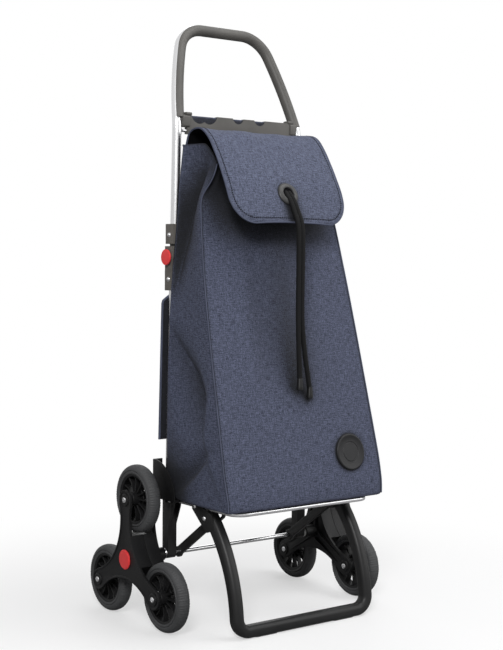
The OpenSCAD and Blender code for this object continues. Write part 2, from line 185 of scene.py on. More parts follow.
def polished(name, color, rough, scale, depth=0.00001):
    """Metal with fine lines drawn along it."""
    made, nodes, links, shader = new_material(name, color, rough, 1.0)
    vector = coordinates(nodes, links, scale)
    lines = noise_node(nodes, links, vector, 120.0, 3.0)
    gloss = maths(nodes, links, "MULTIPLY_ADD", lines, 0.16, rough - 0.06)
    links.new(gloss, shader.inputs["Roughness"])
    bump(nodes, links, shader, lines, 0.3, depth)
    return made


def heather(name, dark, light, coarse=1.0):
    """Plain weave of mixed dark and pale yarns, drawn in UV millimetres so that it follows the cloth.
    Hollows and creases get painted shade: an ambient occlusion node darkens the colour there."""
    made, nodes, links, shader = new_material(name, dark, 0.88)
    vector = coordinates(nodes, links, (1000, 1000, 1), "UV")
    split = nodes.new("ShaderNodeSeparateXYZ")
    links.new(vector, split.inputs["Vector"])
    yarn = 2 * math.pi / (1.1 * coarse)
    warp = maths(nodes, links, "SINE", maths(nodes, links, "MULTIPLY", split.outputs["X"], yarn))
    weft = maths(nodes, links, "SINE", maths(nodes, links, "MULTIPLY", split.outputs["Y"], yarn))
    weave = maths(nodes, links, "MULTIPLY", warp, weft)
    slub = []
    for stretch in ((0.5, 0.07, 1), (0.07, 0.5, 1)):
        mapping = nodes.new("ShaderNodeMapping")
        mapping.inputs["Scale"].default_value = stretch
        links.new(vector, mapping.inputs["Vector"])
        slub.append(noise_node(nodes, links, mapping.outputs["Vector"], 1.6 / coarse, 4.0, 0.62))
    streaks = maths(nodes, links, "MULTIPLY", maths(nodes, links, "ADD", slub[0], slub[1]), 0.5)
    speck = noise_node(nodes, links, vector, 0.9 / coarse, 5.0, 0.7)
    mixed = maths(nodes, links, "MULTIPLY_ADD", speck, 0.45, maths(nodes, links, "MULTIPLY", streaks, 0.55))
    woven = maths(nodes, links, "MULTIPLY_ADD", weave, 0.035, mixed)
    middle = tuple((a + b) / 2 for a, b in zip(dark, light))
    tone = ramp(nodes, links, woven, [(0.43, dark), (0.5, middle), (0.57, light)])
    # Painted shade: the ambient occlusion result scales the cloth colour down to a tenth in creases and
    # hollows
    occlusion_shade = nodes.new("ShaderNodeAmbientOcclusion")
    occlusion_shade.samples = 6
    occlusion_shade.inputs["Distance"].default_value = 0.085
    depth = nodes.new("ShaderNodeMapRange")
    depth.inputs["From Min"].default_value = 0.79
    depth.inputs["From Max"].default_value = 0.96
    depth.inputs["To Min"].default_value = 0.1
    links.new(occlusion_shade.outputs["AO"], depth.inputs["Value"])
    dimmed = nodes.new("ShaderNodeVectorMath")
    dimmed.operation = "SCALE"
    links.new(tone, dimmed.inputs[0])
    links.new(depth.outputs["Result"], dimmed.inputs["Scale"])
    links.new(dimmed.outputs["Vector"], shader.inputs["Base Color"])
    height = maths(nodes, links, "MULTIPLY_ADD", weave, 0.5, mixed)
    bump(nodes, links, shader, height, 0.55, 0.0003)
    return made


MAT = {
    "tyre": moulded("tyre_rubber", (0.06, 0.061, 0.063), 0.62, 1400, 0.0001),
    "rim": moulded("rim_plastic", (0.009, 0.009, 0.0095), 0.45, gleam=0.2),
    "cluster": moulded("cluster_plastic", (0.009, 0.009, 0.0095), 0.42, gleam=0.22),
    "red": moulded("red_plastic", (0.86, 0.06, 0.062), 0.34, spread=0.05),
    "bush": moulded("bearing_plastic", (0.5, 0.5, 0.47), 0.45),
    "black_metal": moulded("black_coating", (0.019, 0.019, 0.019), 0.36, gleam=0.3),
    "foot": moulded("foot_coating", (0.016, 0.016, 0.0163), 0.42, gleam=0.25),
    "hinge": moulded("hinge_plastic", (0.118, 0.11, 0.1), 0.48),
    "grip": moulded("grip_plastic", (0.098, 0.094, 0.088), 0.5),
    "ring": moulded("ring_plastic", (0.05, 0.05, 0.05), 0.42),
    "badge": moulded("badge_plastic", (0.012, 0.012, 0.013), 0.5),
    "board": moulded("board_plastic", (0.02, 0.02, 0.02), 0.6),
    "lining": moulded("lining_cloth", (0.005, 0.005, 0.006), 0.95, 2500, 0.0002, gleam=0.05),
    "thread_cloth": moulded("seam_binding", (0.085, 0.095, 0.14), 0.9, 1800, 0.0002, gleam=0.1),
    "thread": moulded("thread", (0.006, 0.007, 0.013), 0.85, 3000, gleam=0.1),
    "cord": moulded("cord_yarn", (0.006, 0.006, 0.0065), 0.8, 2600, 0.0001, gleam=0.2),
    "aluminium": polished("aluminium", (0.82, 0.82, 0.83), 0.24, (1, 1, 0.03)),
    "rail": polished("rail_metal", (0.8, 0.8, 0.81), 0.26, (0.05, 0.05, 1)),
    "chrome": polished("chrome", (0.78, 0.78, 0.79), 0.14, (0.03, 1, 1)),
    "steel": polished("zinc_steel", (0.72, 0.72, 0.73), 0.3, (1, 1, 1)),
    "cloth": heather("heather_cloth", (0.010, 0.013, 0.028), (0.104, 0.119, 0.188), 1.35),
    # The flap cloth is the bag cloth made lighter: painted light for the flap's upward-facing top
    "flap_cloth": heather("flap_cloth", (0.014, 0.018, 0.037), (0.128, 0.146, 0.222), 1.35),
}


# ---- mesh helpers ----


def new_piece(name, mesh, material, body=None, smooth=30.0):
    """A named object of the given mesh, smooth where its faces meet at less than the given angle."""
    obj = bpy.data.objects.new(name, mesh)
    bpy.context.scene.collection.objects.link(obj)
    mesh.materials.append(MAT[material])
    smooth_by_angle(mesh, smooth)
    if body:
        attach(obj, body)
    return obj


def smooth_by_angle(mesh, degrees):
    work = bmesh.new()
    work.from_mesh(mesh)
    limit = math.radians(degrees)
    for face in work.faces:
        face.smooth = True
    for edge in work.edges:
        edge.smooth = len(edge.link_faces) == 2 and edge.calc_face_angle(0.0) < limit
    work.to_mesh(mesh)
    work.free()


def mesh_from(name, points, faces, uvs=None):
    mesh = bpy.data.meshes.new(name)
    mesh.from_pydata([tuple(p) for p in points], [], faces)
    if uvs:
        layer = mesh.uv_layers.new(name="UVMap")
        for loop in mesh.loops:
            layer.data[loop.index].uv = uvs[loop.vertex_index]
    mesh.update()
    return mesh


def grid(name, rows, closed=False, uvs=None):
    """A sheet through rows of points. With closed, the last point of each row joins the first."""
    across = len(rows[0])
    points = [p for row in rows for p in row]
    faces = []
    for i in range(len(rows) - 1):
        for j in range(across if closed else across - 1):
            k = (j + 1) % across
            faces.append((i * across + j, i * across + k, (i + 1) * across + k, (i + 1) * across + j))
    return mesh_from(name, points, faces, [uv for row in uvs for uv in row] if uvs else None)


def outward(mesh):
    work = bmesh.new()
    work.from_mesh(mesh)
    bmesh.ops.recalc_face_normals(work, faces=work.faces)
    work.to_mesh(mesh)
    work.free()
    return mesh


def frames_along(path, up):
    """Tangent, side and up at each point of a path; up is a vector, or a function of the index."""
    made = []
    for i in range(len(path)):
        tangent = (path[min(i + 1, len(path) - 1)] - path[max(i - 1, 0)]).normalized()
        wanted = up(i) if callable(up) else up
        side = tangent.cross(wanted).normalized()
        made.append((tangent, side, side.cross(tangent).normalized()))
    return made


def sweep(name, path, section, up=Vector((0, 0, 1)), caps=True):
    """Carries a closed section of (side, up) pairs along a path. section may be a function of the index."""
    rows = []
    for i, (p, (_, side, over)) in enumerate(zip(path, frames_along(path, up))):
        outline = section(i) if callable(section) else section
        rows.append([p + side * a + over * b for a, b in outline])
    mesh = grid(name, rows, closed=True)
    if caps:
        work = bmesh.new()
        work.from_mesh(mesh)
        work.verts.ensure_lookup_table()
        n = len(rows[0])
        work.faces.new([work.verts[i] for i in range(n)])
        work.faces.new([work.verts[len(work.verts) - 1 - i] for i in range(n)])
        work.to_mesh(mesh)
        work.free()
    return outward(mesh)


def circle(radius, n=24):
    turns = [2 * math.pi * i / n for i in range(n)]
    return [(radius * math.cos(a), radius * math.sin(a)) for a in turns]


def rounded(width, height, radius, n=5):
    """A rectangle with rounded corners, centred on the origin."""
    made = []
    for cx, cy, start in ((1, 1, 0), (-1, 1, 90), (-1, -1, 180), (1, -1, 270)):
        for i in range(n + 1):
            a = math.radians(start + 90 * i / n)
            made.append((cx * (width / 2 - radius) + radius * math.cos(a),
                         cy * (height / 2 - radius) + radius * math.sin(a)))
    return made


def lathe(name, profile, origin, axis="X", n=96, wobble=None):
    """Turns a closed (along, radius) profile round an axis. wobble(index, angle) adds to the radius."""
    rows = []
    for i in range(n):
        a = 2 * math.pi * i / n
        row = []
        for k, (s, r) in enumerate(profile):
            r = r + (wobble(k, a) if wobble else 0)
            b, c = r * math.cos(a), r * math.sin(a)
            row.append(origin + Vector((s, b, c) if axis == "X" else (b, c, s)))
        rows.append(row)
    rows.append(rows[0])
    mesh = grid(name, rows, closed=True)
    work = bmesh.new()
    work.from_mesh(mesh)
    bmesh.ops.remove_doubles(work, verts=work.verts, dist=1e-7)
    bmesh.ops.recalc_face_normals(work, faces=work.faces)
    work.to_mesh(mesh)
    work.free()
    return mesh


def prism(name, outline, place, depth, bevel=0.0, steps=2):
    """A flat outline of (a, b) pairs, placed by place(a, b, h) from h = 0 to depth, with softened edges."""
    n = len(outline)
    points = [place(a, b, 0.0) for a, b in outline] + [place(a, b, depth) for a, b in outline]
    faces = [tuple(range(n)), tuple(range(2 * n - 1, n - 1, -1))]
    faces += [(i, (i + 1) % n, n + (i + 1) % n, n + i) for i in range(n)]
    mesh = outward(mesh_from(name, points, faces))
    return soften(mesh, bevel, steps) if bevel else mesh


def soften(mesh, width, steps=2, angle=28.0):
    """Rounds the edges where faces meet at more than the given angle."""
    work = bmesh.new()
    work.from_mesh(mesh)
    limit = math.radians(angle)
    sharp = [e for e in work.edges if len(e.link_faces) == 2 and e.calc_face_angle(0.0) > limit]
    bmesh.ops.bevel(work, geom=sharp, offset=width, segments=steps, profile=0.6, affect="EDGES",
                    clamp_overlap=True)
    work.to_mesh(mesh)
    work.free()
    return mesh


def joined(name, meshes, material, body=None, smooth=30.0):
    """One piece from several meshes."""
    work = bmesh.new()
    for mesh in meshes:
        work.from_mesh(mesh)
    made = bpy.data.meshes.new(name)
    work.to_mesh(made)
    work.free()
    for mesh in meshes:
        bpy.data.meshes.remove(mesh)
    return new_piece(name, made, material, body, smooth)


def cad_copy(node, name, material, bevel=0.0008, steps=2, weld=0.0, smooth=30.0):
    """A piece that stands for a CAD node, made from its mesh with flat faces merged and edges rounded."""
    work = bmesh.new()
    work.from_mesh(frame["nodes"][node].data)
    bmesh.ops.remove_doubles(work, verts=work.verts, dist=2e-6)
    if weld:
        weld_stretches(work, weld)
    bmesh.ops.dissolve_limit(work, angle_limit=math.radians(0.6), verts=work.verts, edges=work.edges)
    mesh = bpy.data.meshes.new(name)
    work.to_mesh(mesh)
    work.free()
    if bevel:
        soften(mesh, bevel, steps)
    obj = new_piece(name, mesh, material, None, smooth)
    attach(obj, body_of_node(node))
    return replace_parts(obj, node)


def body_of_node(node):
    return next(b for b, nodes in frame["record"]["behaviour"]["bodies"].items() if node in nodes)


def weld_stretches(work, reach):
    """Joins stretches whose end faces almost touch into one, and drops the two faces between them."""
    work.verts.ensure_lookup_table()
    island = {}
    for start in work.verts:
        if start.index in island:
            continue
        stack = [start]
        island[start.index] = start.index
        while stack:
            for edge in stack.pop().link_edges:
                for v in edge.verts:
                    if v.index not in island:
                        island[v.index] = start.index
                        stack.append(v)
    tree = KDTree(len(work.verts))
    for v in work.verts:
        tree.insert(v.co, v.index)
    tree.balance()
    near = {v.index for v in work.verts
            if any(island[i] != island[v.index] for _, i, _ in tree.find_range(v.co, reach))}
    between = [f for f in work.faces
               if all(v.index in near for v in f.verts) and max(e.calc_length() for e in f.edges) < 0.03]
    bmesh.ops.delete(work, geom=between, context="FACES")
    bmesh.ops.remove_doubles(work, verts=work.verts, dist=reach)


def paint(node, material, smooth=30.0):
    """Shows a CAD node as it is, with a material."""
    obj = frame["nodes"][node]
    obj.data.materials.clear()
    obj.data.materials.append(MAT[material])
    for polygon in obj.data.polygons:
        polygon.use_smooth = True
    obj.data.set_sharp_from_angle(angle=math.radians(smooth))


# ---- wheels ----

TYRE_R = 61 * MM
SEAT_R = 45 * MM
TYRE_W = 24 * MM
TREAD_RIBS = 84
RIB_DEPTH = 0.0016
SPOKES = 12


def tyre_profile(n=10):
    """Closed (along, radius) outline: flat inside, a groove in each wall and a rounded tread."""
    half = TYRE_W / 2
    made = [(-half + 0.001, SEAT_R), (half - 0.001, SEAT_R)]
    wall = [(half, SEAT_R + 0.0012), (half, SEAT_R + 0.0035), (half - 0.0013, SEAT_R + 0.0045),
            (half - 0.0013, SEAT_R + 0.0056), (half, SEAT_R + 0.0066)]
    shoulder = SEAT_R + 0.0078
    turns = [math.pi * i / n for i in range(1, n)]
    tread = [(half * math.cos(a), shoulder + (TYRE_R - shoulder) * math.sin(a) ** 0.8) for a in turns]
    made += wall + [(half, shoulder)] + tread + [(-half, shoulder)]
    made += [(-s, r) for s, r in reversed(wall)]
    return made


def build_wheel(side, place):
    body = f"wheel_{side}_{place}"
    tyre_node, rim_node = f"tyre_{side}_{place}", f"rim_{side}_{place}"
    origin = centre_of(tyre_node)
    profile = tyre_profile()

    def ribs(k, a):
        s_k, r_k = profile[k]
        if r_k < SEAT_R + 0.0085:
            return 0.0
        level = 0.5 if abs(s_k) > 0.006 else 0.22
        return -RIB_DEPTH * level * (1 if math.sin(TREAD_RIBS * a) < 0 else 0)

    tyre_mesh = lathe("tyre", profile, origin, n=4 * TREAD_RIBS, wobble=ribs)
    tyre = new_piece(f"tyre_{side}_{place}_visual", tyre_mesh, "tyre", body, 42)
    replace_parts(tyre, tyre_node)
    low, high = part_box(rim_node)
    half = (high.x - low.x) / 2
    parts = []
    band = [(-0.0092, SEAT_R - 0.0042), (-0.0086, SEAT_R - 0.0046), (0.0086, SEAT_R - 0.0046),
            (0.0092, SEAT_R - 0.0042), (0.0104, SEAT_R - 0.0006), (0.0104, SEAT_R + 0.0012),
            (0.0090, SEAT_R), (-0.0090, SEAT_R), (-0.0104, SEAT_R + 0.0012), (-0.0104, SEAT_R - 0.0006)]
    parts.append(lathe("band", band, origin))
    hub = [(-half, 0.0046), (half, 0.0046), (half, 0.0108), (half - 0.0012, 0.0119), (0.008, 0.0125),
           (-0.008, 0.0125), (-half + 0.0012, 0.0119), (-half, 0.0108)]
    parts.append(lathe("hub", hub, origin, n=48))
    flange = [(-0.0012, 0.012), (0.0012, 0.012), (0.0012, 0.019), (0.0006, 0.0196), (-0.0006, 0.0196),
              (-0.0012, 0.019)]
    parts.append(lathe("flange", flange, origin, n=64))
    for i in range(SPOKES):
        a = 2 * math.pi * i / SPOKES
        across = Vector((0, -math.sin(a), math.cos(a)))
        outw = Vector((0, math.cos(a), math.sin(a)))
        outline = [(0.0118, -0.0075), (0.0118, 0.0075), (0.03, 0.0052), (SEAT_R - 0.0038, 0.0078),
                   (SEAT_R - 0.0038, -0.0078), (0.03, -0.0052)]

        def put(r, x, h):
            return origin + outw * r + Vector((1, 0, 0)) * x + across * (h - 0.0012)

        parts.append(prism("spoke", outline, put, 0.0024, 0.0005, 1))
    rim = joined(f"rim_{side}_{place}_visual", parts, "rim", body)
    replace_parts(rim, rim_node)


for side in SIDES:
    for place in WHEELS:
        build_wheel(side, place)


# ---- wheel clusters ----

ARM = [(math.cos(math.radians(a)), math.sin(math.radians(a))) for a in WHEELS.values()]
ARM_R = 106.7 * MM
INNER_PLATE_X = 192 * MM


def build_cluster(side):
    s = SIDES[side]
    body = f"cluster_{side}"
    cad_copy(f"cluster_outer_{side}", f"cluster_outer_{side}_visual", "cluster", 0.0009, 3)
    cad_copy(f"cluster_inner_{side}", f"cluster_inner_{side}_visual", "cluster", 0.0008, 2)
    cad_copy(f"hub_cap_{side}", f"hub_cap_{side}_visual", "red", 0.0007, 3)
    paint(f"hub_bush_{side}", "bush")
    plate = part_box(f"cluster_outer_{side}")
    face = (plate[1].x if s > 0 else -plate[0].x)
    inner = INNER_PLATE_X
    collars, bolts = [], []
    for cy, cz in ARM:
        tip = Vector((0, AXLE_Y + ARM_R * cy, AXLE.z + ARM_R * cz))

        def out(x):
            return tip + Vector((s * x, 0, 0))

        collar = [(0, 0.0042), (0.0024, 0.0052), (0.0024, 0.0098), (0.0018, 0.0108), (0, 0.0114)]
        collars.append(lathe("collar", [(s * a, r) for a, r in collar], out(face - 0.0015), n=48))
        collars.append(lathe("collar", [(-s * a, r) for a, r in collar], out(inner), n=48))
        head = [(-0.001, 0.0001), (0.0014, 0.0001), (0.0015, 0.0016), (0.0028, 0.0019), (0.0029, 0.0034),
                (0.0024, 0.0046), (0.001, 0.0052), (-0.001, 0.0052)]
        bolts.append(lathe("head", [(s * a, r) for a, r in head], out(face - 0.0005), n=48))
        bolts.append(lathe("head", [(-s * a, r) for a, r in head], out(inner - 0.001), n=48))
        shank = [(0, 0.0001), (face - inner, 0.0001), (face - inner, 0.004), (0, 0.004)]
        bolts.append(lathe("shank", [(s * a, r) for a, r in shank], out(inner), n=24))
    joined(f"bolt_collars_{side}", collars, "cluster", body)
    made = joined(f"wheel_bolts_{side}_visual", bolts, "steel", body)
    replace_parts(made, f"wheel_bolts_{side}")
    ribs = []
    for a in WHEELS.values():
        turn = math.radians(a)
        outw = Vector((0, math.cos(turn), math.sin(turn)))
        across = Vector((0, -math.sin(turn), math.cos(turn)))
        start = Vector((s * (inner - 0.0001), AXLE_Y, AXLE.z))
        outline = [(0.012, 0), (0.012, 0.0055), (0.03, 0.0045), (0.086, 0.0012), (0.086, 0)]
        for offset in (-0.0075, 0.0075):

            def put(r, h, w):
                return start + outw * r + across * (offset + w - 0.0011) + Vector((-s * h, 0, 0))

            ribs.append(prism("rib", outline, put, 0.0022, 0.0004, 1))
    joined(f"plate_ribs_{side}", ribs, "cluster", body)


for side in SIDES:
    build_cluster(side)


# ---- axle, legs, tubes and hinges ----

paint("axle", "chrome")


def dome(origin, direction, radius, height, n=32):
    """A low domed rivet head facing along X."""
    profile = [(-0.0005, 0.0001), (height, 0.0001), (height * 0.96, radius * 0.35),
               (height * 0.75, radius * 0.7), (height * 0.35, radius * 0.93), (0.0, radius),
               (-0.0005, radius)]
    return lathe("dome", [(direction * a, r) for a, r in profile], origin, n=n)


def rivets(node, name, radius, height):
    """Domed heads at the outer ends of a CAD node's rivets."""
    middle, high = centre_of(node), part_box(node)[1]
    parts = [dome(Vector((s * (high.x - height), middle.y, middle.z)), s, radius, height) for s in (-1, 1)]
    return joined(name, parts, "steel", body_of_node(node))


def build_sides():
    for side in SIDES:
        cad_copy(f"leg_{side}", f"leg_{side}_visual", "black_metal", 0.0016, 3)
        paint(f"lower_tube_{side}", "aluminium")
        cad_copy(f"guard_{side}", f"guard_{side}_visual", "cluster", 0.0011, 2)
        cad_copy(f"hinge_lower_{side}", f"hinge_lower_{side}_visual", "hinge", 0.0022, 3)
        cad_copy(f"hinge_upper_{side}", f"hinge_upper_{side}_visual", "hinge", 0.0022, 3)
        cad_copy(f"lock_button_{side}", f"lock_button_{side}_visual", "red", 0.0016, 3)
        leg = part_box(f"leg_{side}")
        origin = Vector(((leg[0].x + leg[1].x) / 2, AXLE_Y, leg[1].z - 0.0095))
        collar = [(-0.003, 0.0087), (0.0035, 0.0087), (0.0035, 0.0097), (0.0025, 0.0106), (-0.003, 0.0106)]
        joined(f"leg_collar_{side}", [lathe("collar", collar, origin, "Z", 48)], "black_metal", "frame")
    for node in ("hinge_rivets_lower", "hinge_rivets_upper"):
        made = rivets(node, node + "_visual", 0.0046, 0.0026)
        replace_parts(made, node)
    paint("platform_pins", "steel")
    clips = []
    for s in (-1, 1):
        x0 = s * (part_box("axle_clips")[1].x - 0.003)
        ring = [(0, 0.0041), (s * 0.0008, 0.0041), (s * 0.0008, 0.0088), (s * 0.0004, 0.0091), (0, 0.0088)]
        clips.append(lathe("washer", ring, Vector((x0, AXLE_Y, AXLE.z)), n=48))
        clips.append(lathe("washer", [(a + s * 0.0014, r * 0.82 + 0.0007) for a, r in ring],
                           Vector((x0, AXLE_Y, AXLE.z)), n=48))
    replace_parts(joined("axle_clips_visual", clips, "steel", "frame"), "axle_clips")


build_sides()


# ---- handle ----

cad_copy("handle_tube", "handle_tube_visual", "aluminium", 0, weld=0.00006, smooth=40)
cad_copy("handle_grip", "handle_grip_visual", "grip", 0, weld=0.00006, smooth=40)
cad_copy("hanger_bar", "hanger_bar_visual", "grip", 0.0018, 3)
paint("hanger_rod", "steel")


def build_hanger():
    low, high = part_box("hanger_bar")
    middle = (low + high) / 2
    half = high.x - 0.0085
    parts = []
    path = [Vector((-half + 2 * half * i / 60, middle.y + 0.0005, high.z - 0.0145)) for i in range(61)]

    def outline(i):
        wave = 1 + 0.05 * math.sin(i * 1.3) + 0.04 * math.sin(i * 0.47 + 1)
        return [(a * wave, b) for a, b in rounded(0.0076, 0.027, 0.0036, 6)]

    sleeve = sweep("sleeve", path, outline, Vector((0, 0, 1)))
    layer = sleeve.uv_layers.new(name="UVMap")
    for loop in sleeve.loops:
        co = sleeve.vertices[loop.vertex_index].co
        layer.data[loop.index].uv = (co.x, co.z)
    new_piece("hanger_sleeve", sleeve, "cloth", "handle", 60)
    for s in (-1, 1):
        x = s * (high.x + 0.0035)
        clamp = rounded(0.013, 0.022, 0.004, 5)
        tab = rounded(0.016, 0.006, 0.0025, 4)

        def put_clamp(a, b, h):
            return Vector((x + s * (h - 0.008), middle.y + a - 0.0005, high.z - 0.012 + b))

        def put_tab(a, b, h):
            return Vector((x + s * (h - 0.013), low.y + a + 0.006, high.z + 0.0015 + b))

        parts.append(prism("clamp", clamp, put_clamp, 0.015, 0.0012, 2))
        parts.append(prism("tab", tab, put_tab, 0.012, 0.0009, 2))
    joined("hanger_clamps", parts, "grip", "handle")


build_hanger()


# ---- platform, struts and foot ----


def corner_path(points, radius, steps=12):
    """Straight runs between points, with each inner corner rounded."""
    path = [points[0]]
    for before, p, after in zip(points, points[1:], points[2:]):
        a, b = (before - p).normalized(), (after - p).normalized()
        turn = a.angle(b)
        reach = radius / math.tan(turn / 2)
        centre = p + (a + b).normalized() * (radius / math.sin(turn / 2))
        start, end = p + a * reach - centre, p + b * reach - centre
        arc = math.pi - turn
        for i in range(steps + 1):
            u = arc * i / steps
            path.append(centre + (start * math.sin(arc - u) + end * math.sin(u)) / math.sin(arc))
    path.append(points[-1])
    return path


def build_platform():
    low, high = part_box("platform_frame")
    rail_x, front = high.x - 0.004, low.y + 0.004
    rear = centre_of("platform_pins").y
    z = centre_of("platform_pins").z
    points = [Vector((-rail_x, rear, z)), Vector((-rail_x, front, z)), Vector((rail_x, front, z)),
              Vector((rail_x, rear, z))]
    rail = sweep("rail", corner_path(points, 0.022), rounded(0.0078, 0.0078, 0.0032, 4))
    parts = [rail]
    for s in (-1, 1):
        eye = [(-0.0042, 0.0031), (0.0042, 0.0031), (0.0042, 0.0052), (0.0036, 0.006), (-0.0036, 0.006),
               (-0.0042, 0.0052)]
        parts.append(lathe("eye", eye, Vector((s * rail_x, rear, z)), n=40))
    for y in (-58.5, -182.5):
        wire = [Vector((rail_x * (i / 20 - 1), AXLE_Y + y * MM, z)) for i in range(41)]
        parts.append(sweep("wire", wire, circle(0.0016, 12)))
    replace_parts(joined("platform_rail", parts, "rail", "platform", 40), "platform_frame")
    low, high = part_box("base_board")
    inset = 0.016
    plan = rounded(high.x - low.x - inset, high.y - low.y - inset, 0.012, 5)
    middle = (low + high) / 2

    def put(a, b, h):
        return Vector((a, middle.y + b, low.z + h))

    board = prism("board", plan, put, high.z - low.z, 0.0008)
    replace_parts(joined("base_board_visual", [board], "board", "platform"), "base_board")
    for node in ("knee_rivets", "foot_pins"):
        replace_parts(rivets(node, node + "_visual", 0.0046, 0.0024), node)
    for side in SIDES:
        cad_copy(f"strut_{side}", f"strut_{side}_visual", "black_metal", 0.0014, 3)


build_platform()

FOOT_W = 22 * MM
FOOT_T = 27 * MM
FOOT_CURVE = 280 * MM
FOOT_CORNER = 24 * MM
FOOT_TOP = 0.205


def build_foot():
    low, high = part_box("foot_bow")
    centre = Vector((0, low.y + FOOT_CURVE, 0.012))
    middle_r = FOOT_CURVE - FOOT_T / 2
    half = high.x - FOOT_W / 2
    top = math.asin((FOOT_TOP - centre.z) / middle_r) * middle_r
    bottom = FOOT_W / 2 - centre.z
    corners = [Vector((-half, top, 0)), Vector((-half, bottom, 0)),
               Vector((half, bottom, 0)), Vector((half, top, 0))]
    flat = corner_path(corners, FOOT_CORNER, 16)
    dense = []
    for a, b in zip(flat, flat[1:]):
        steps = max(1, int((b - a).length / 0.006))
        dense += [a.lerp(b, i / steps) for i in range(steps)]
    dense.append(flat[-1])

    def bend(p, out=0.0):
        turn = p.y / middle_r
        r = middle_r + out
        return Vector((p.x, centre.y - r * math.cos(turn), centre.z + r * math.sin(turn)))

    path = [bend(p) for p in dense]
    normal = [(bend(p, 0.01) - bend(p)).normalized() for p in dense]
    length = len(path)

    def outline(i):
        end = min(i, length - 1 - i)
        swell = 1 - 0.10 * ease(end / 26)
        return rounded(FOOT_W - 0.0002, (FOOT_T - 0.0002) * swell, 0.0088, 7)

    def above(i):
        return normal[i]

    parts = [sweep("bow", path, outline, above)]
    z_pin, y_pin = centre_of("foot_pins").z, centre_of("foot_pins").y
    z_knee, y_knee = centre_of("knee_rivets").z, centre_of("knee_rivets").y
    lobe = [(y_knee + 0.0085, z_knee - 0.005), (y_knee + 0.0065, z_knee + 0.0045), (y_knee, z_knee + 0.0068),
            (y_knee - 0.0065, z_knee + 0.0062), (y_pin - 0.021, z_pin + 0.0102),
            (y_pin - 0.031, z_pin - 0.0165),
            (y_pin - 0.006, z_pin - 0.0245), (y_pin + 0.018, z_pin - 0.005)]
    for s in (-1, 1):

        def put_lobe(a, b, h):
            return Vector((s * (high.x - 0.0036 + h), a, b))

        parts.append(prism("lobe", lobe, put_lobe, 0.0036, 0.0011, 2))
    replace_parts(joined("foot_bow_visual", parts, "foot", "foot", 40), "foot_bow")
    pads = []
    for s in (-1, 1):

        def put_pad(a, b, h):
            return Vector((s * 0.088 + a, low.y + FOOT_T / 2 + b, h + 0.0001))

        pads.append(prism("pad", rounded(0.05, 0.0165, 0.006, 5), put_pad, 0.0025, 0.0006, 2))
    joined("foot_pads", pads, "tyre", "foot")


build_foot()


# ---- bag ----

BAG_Z = 219
BOARD_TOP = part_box("base_board")[1].z / MM + 0.6
MOUTH_Z = 856
REAR_Y = -13
BAG_SPLIT = 0.6
REAR_COLUMNS, SIDE_COLUMNS, FRONT_COLUMNS = 30, 46, 70
COLUMNS = REAR_COLUMNS + 2 * SIDE_COLUMNS + FRONT_COLUMNS
SEAM_COLUMN = {"right": REAR_COLUMNS + SIDE_COLUMNS, "left": REAR_COLUMNS + SIDE_COLUMNS + FRONT_COLUMNS}
# The last row of points in the rounded bottom edge, where the piping starts
SEAM_START_ROW = 9

BAG_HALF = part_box("bag_lower")[1].x / MM
BAG_FRONT = (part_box("bag_lower")[0].y - AXLE_Y) / MM

# Outline of the bag against height, in millimetres: half-width and front place of the seams, half-width of
# the rear corners, and bulge of the front panel, which is drawn in above the shoulders
SHOULDER_Z = 740
SEAM_X = [(BAG_Z, BAG_HALF - 1), (300, BAG_HALF + 1), (SHOULDER_Z, BAG_HALF - 25), (MOUTH_Z, BAG_HALF - 68)]
SEAM_Y = [(BAG_Z, BAG_FRONT + 2), (250, BAG_FRONT + 5), (SHOULDER_Z, BAG_FRONT + 123),
          (MOUTH_Z, BAG_FRONT + 134)]
REAR_X = [(BAG_Z, BAG_HALF - 6), (580, BAG_HALF - 13), (MOUTH_Z, BAG_HALF - 40)]
CROWN = [(BAG_Z, 2), (560, 8), (SHOULDER_Z, 8), (790, -24), (MOUTH_Z, -34)]

# Folds in each side panel against height: where the crease runs from rear 0 to front 1, how deep it is, and
# how far it spreads to the rear and the front. A negative depth is a ridge.
SHOULDER_FOLD = {"line": [(590, 0.06), (720, 0.12), (790, 0.5), (MOUTH_Z, 0.9)],
                 "depth": [(540, 0), (700, 32), (780, 36), (MOUTH_Z, 3)],
                 "behind": [(560, 0.12), (720, 0.16), (MOUTH_Z, 0.8)],
                 "before": [(600, 0.75), (720, 0.85), (MOUTH_Z, 0.12)]}
WAIST_FOLD = {"line": [(330, 0.66), (420, 0.57), (530, 0.0)],
              "depth": [(325, 0), (430, 28), (540, 0)],
              "behind": [(420, 0.5), (530, 0.1)],
              "before": [(330, 0.08), (420, 0.28), (530, 0.6)]}
CORNER_RIDGE = {"line": [(BAG_Z, 0.98), (350, 0.74), (455, 0.97)],
                "depth": [(BAG_Z, 0), (350, -6), (455, 0)],
                "behind": [(BAG_Z, 0.06), (455, 0.06)],
                "before": [(BAG_Z, 0.05), (350, 0.25), (455, 0.05)]}
BASE_FOLD = {"line": [(BAG_Z, 0.06), (325, 0.83)],
             "depth": [(BAG_Z, 0), (275, 15), (335, 0)],
             "behind": [(BAG_Z, 0.2), (325, 0.4)],
             "before": [(BAG_Z, 0.07), (325, 0.07)]}
FOLDS = (SHOULDER_FOLD, WAIST_FOLD, CORNER_RIDGE, BASE_FOLD)


def wave(seed, a, b):
    """Smooth noise between -1 and 1 at a place, different for each seed."""
    return noise.noise(Vector((a + 17.3 * seed, b - 9.1 * seed, 0.0)))


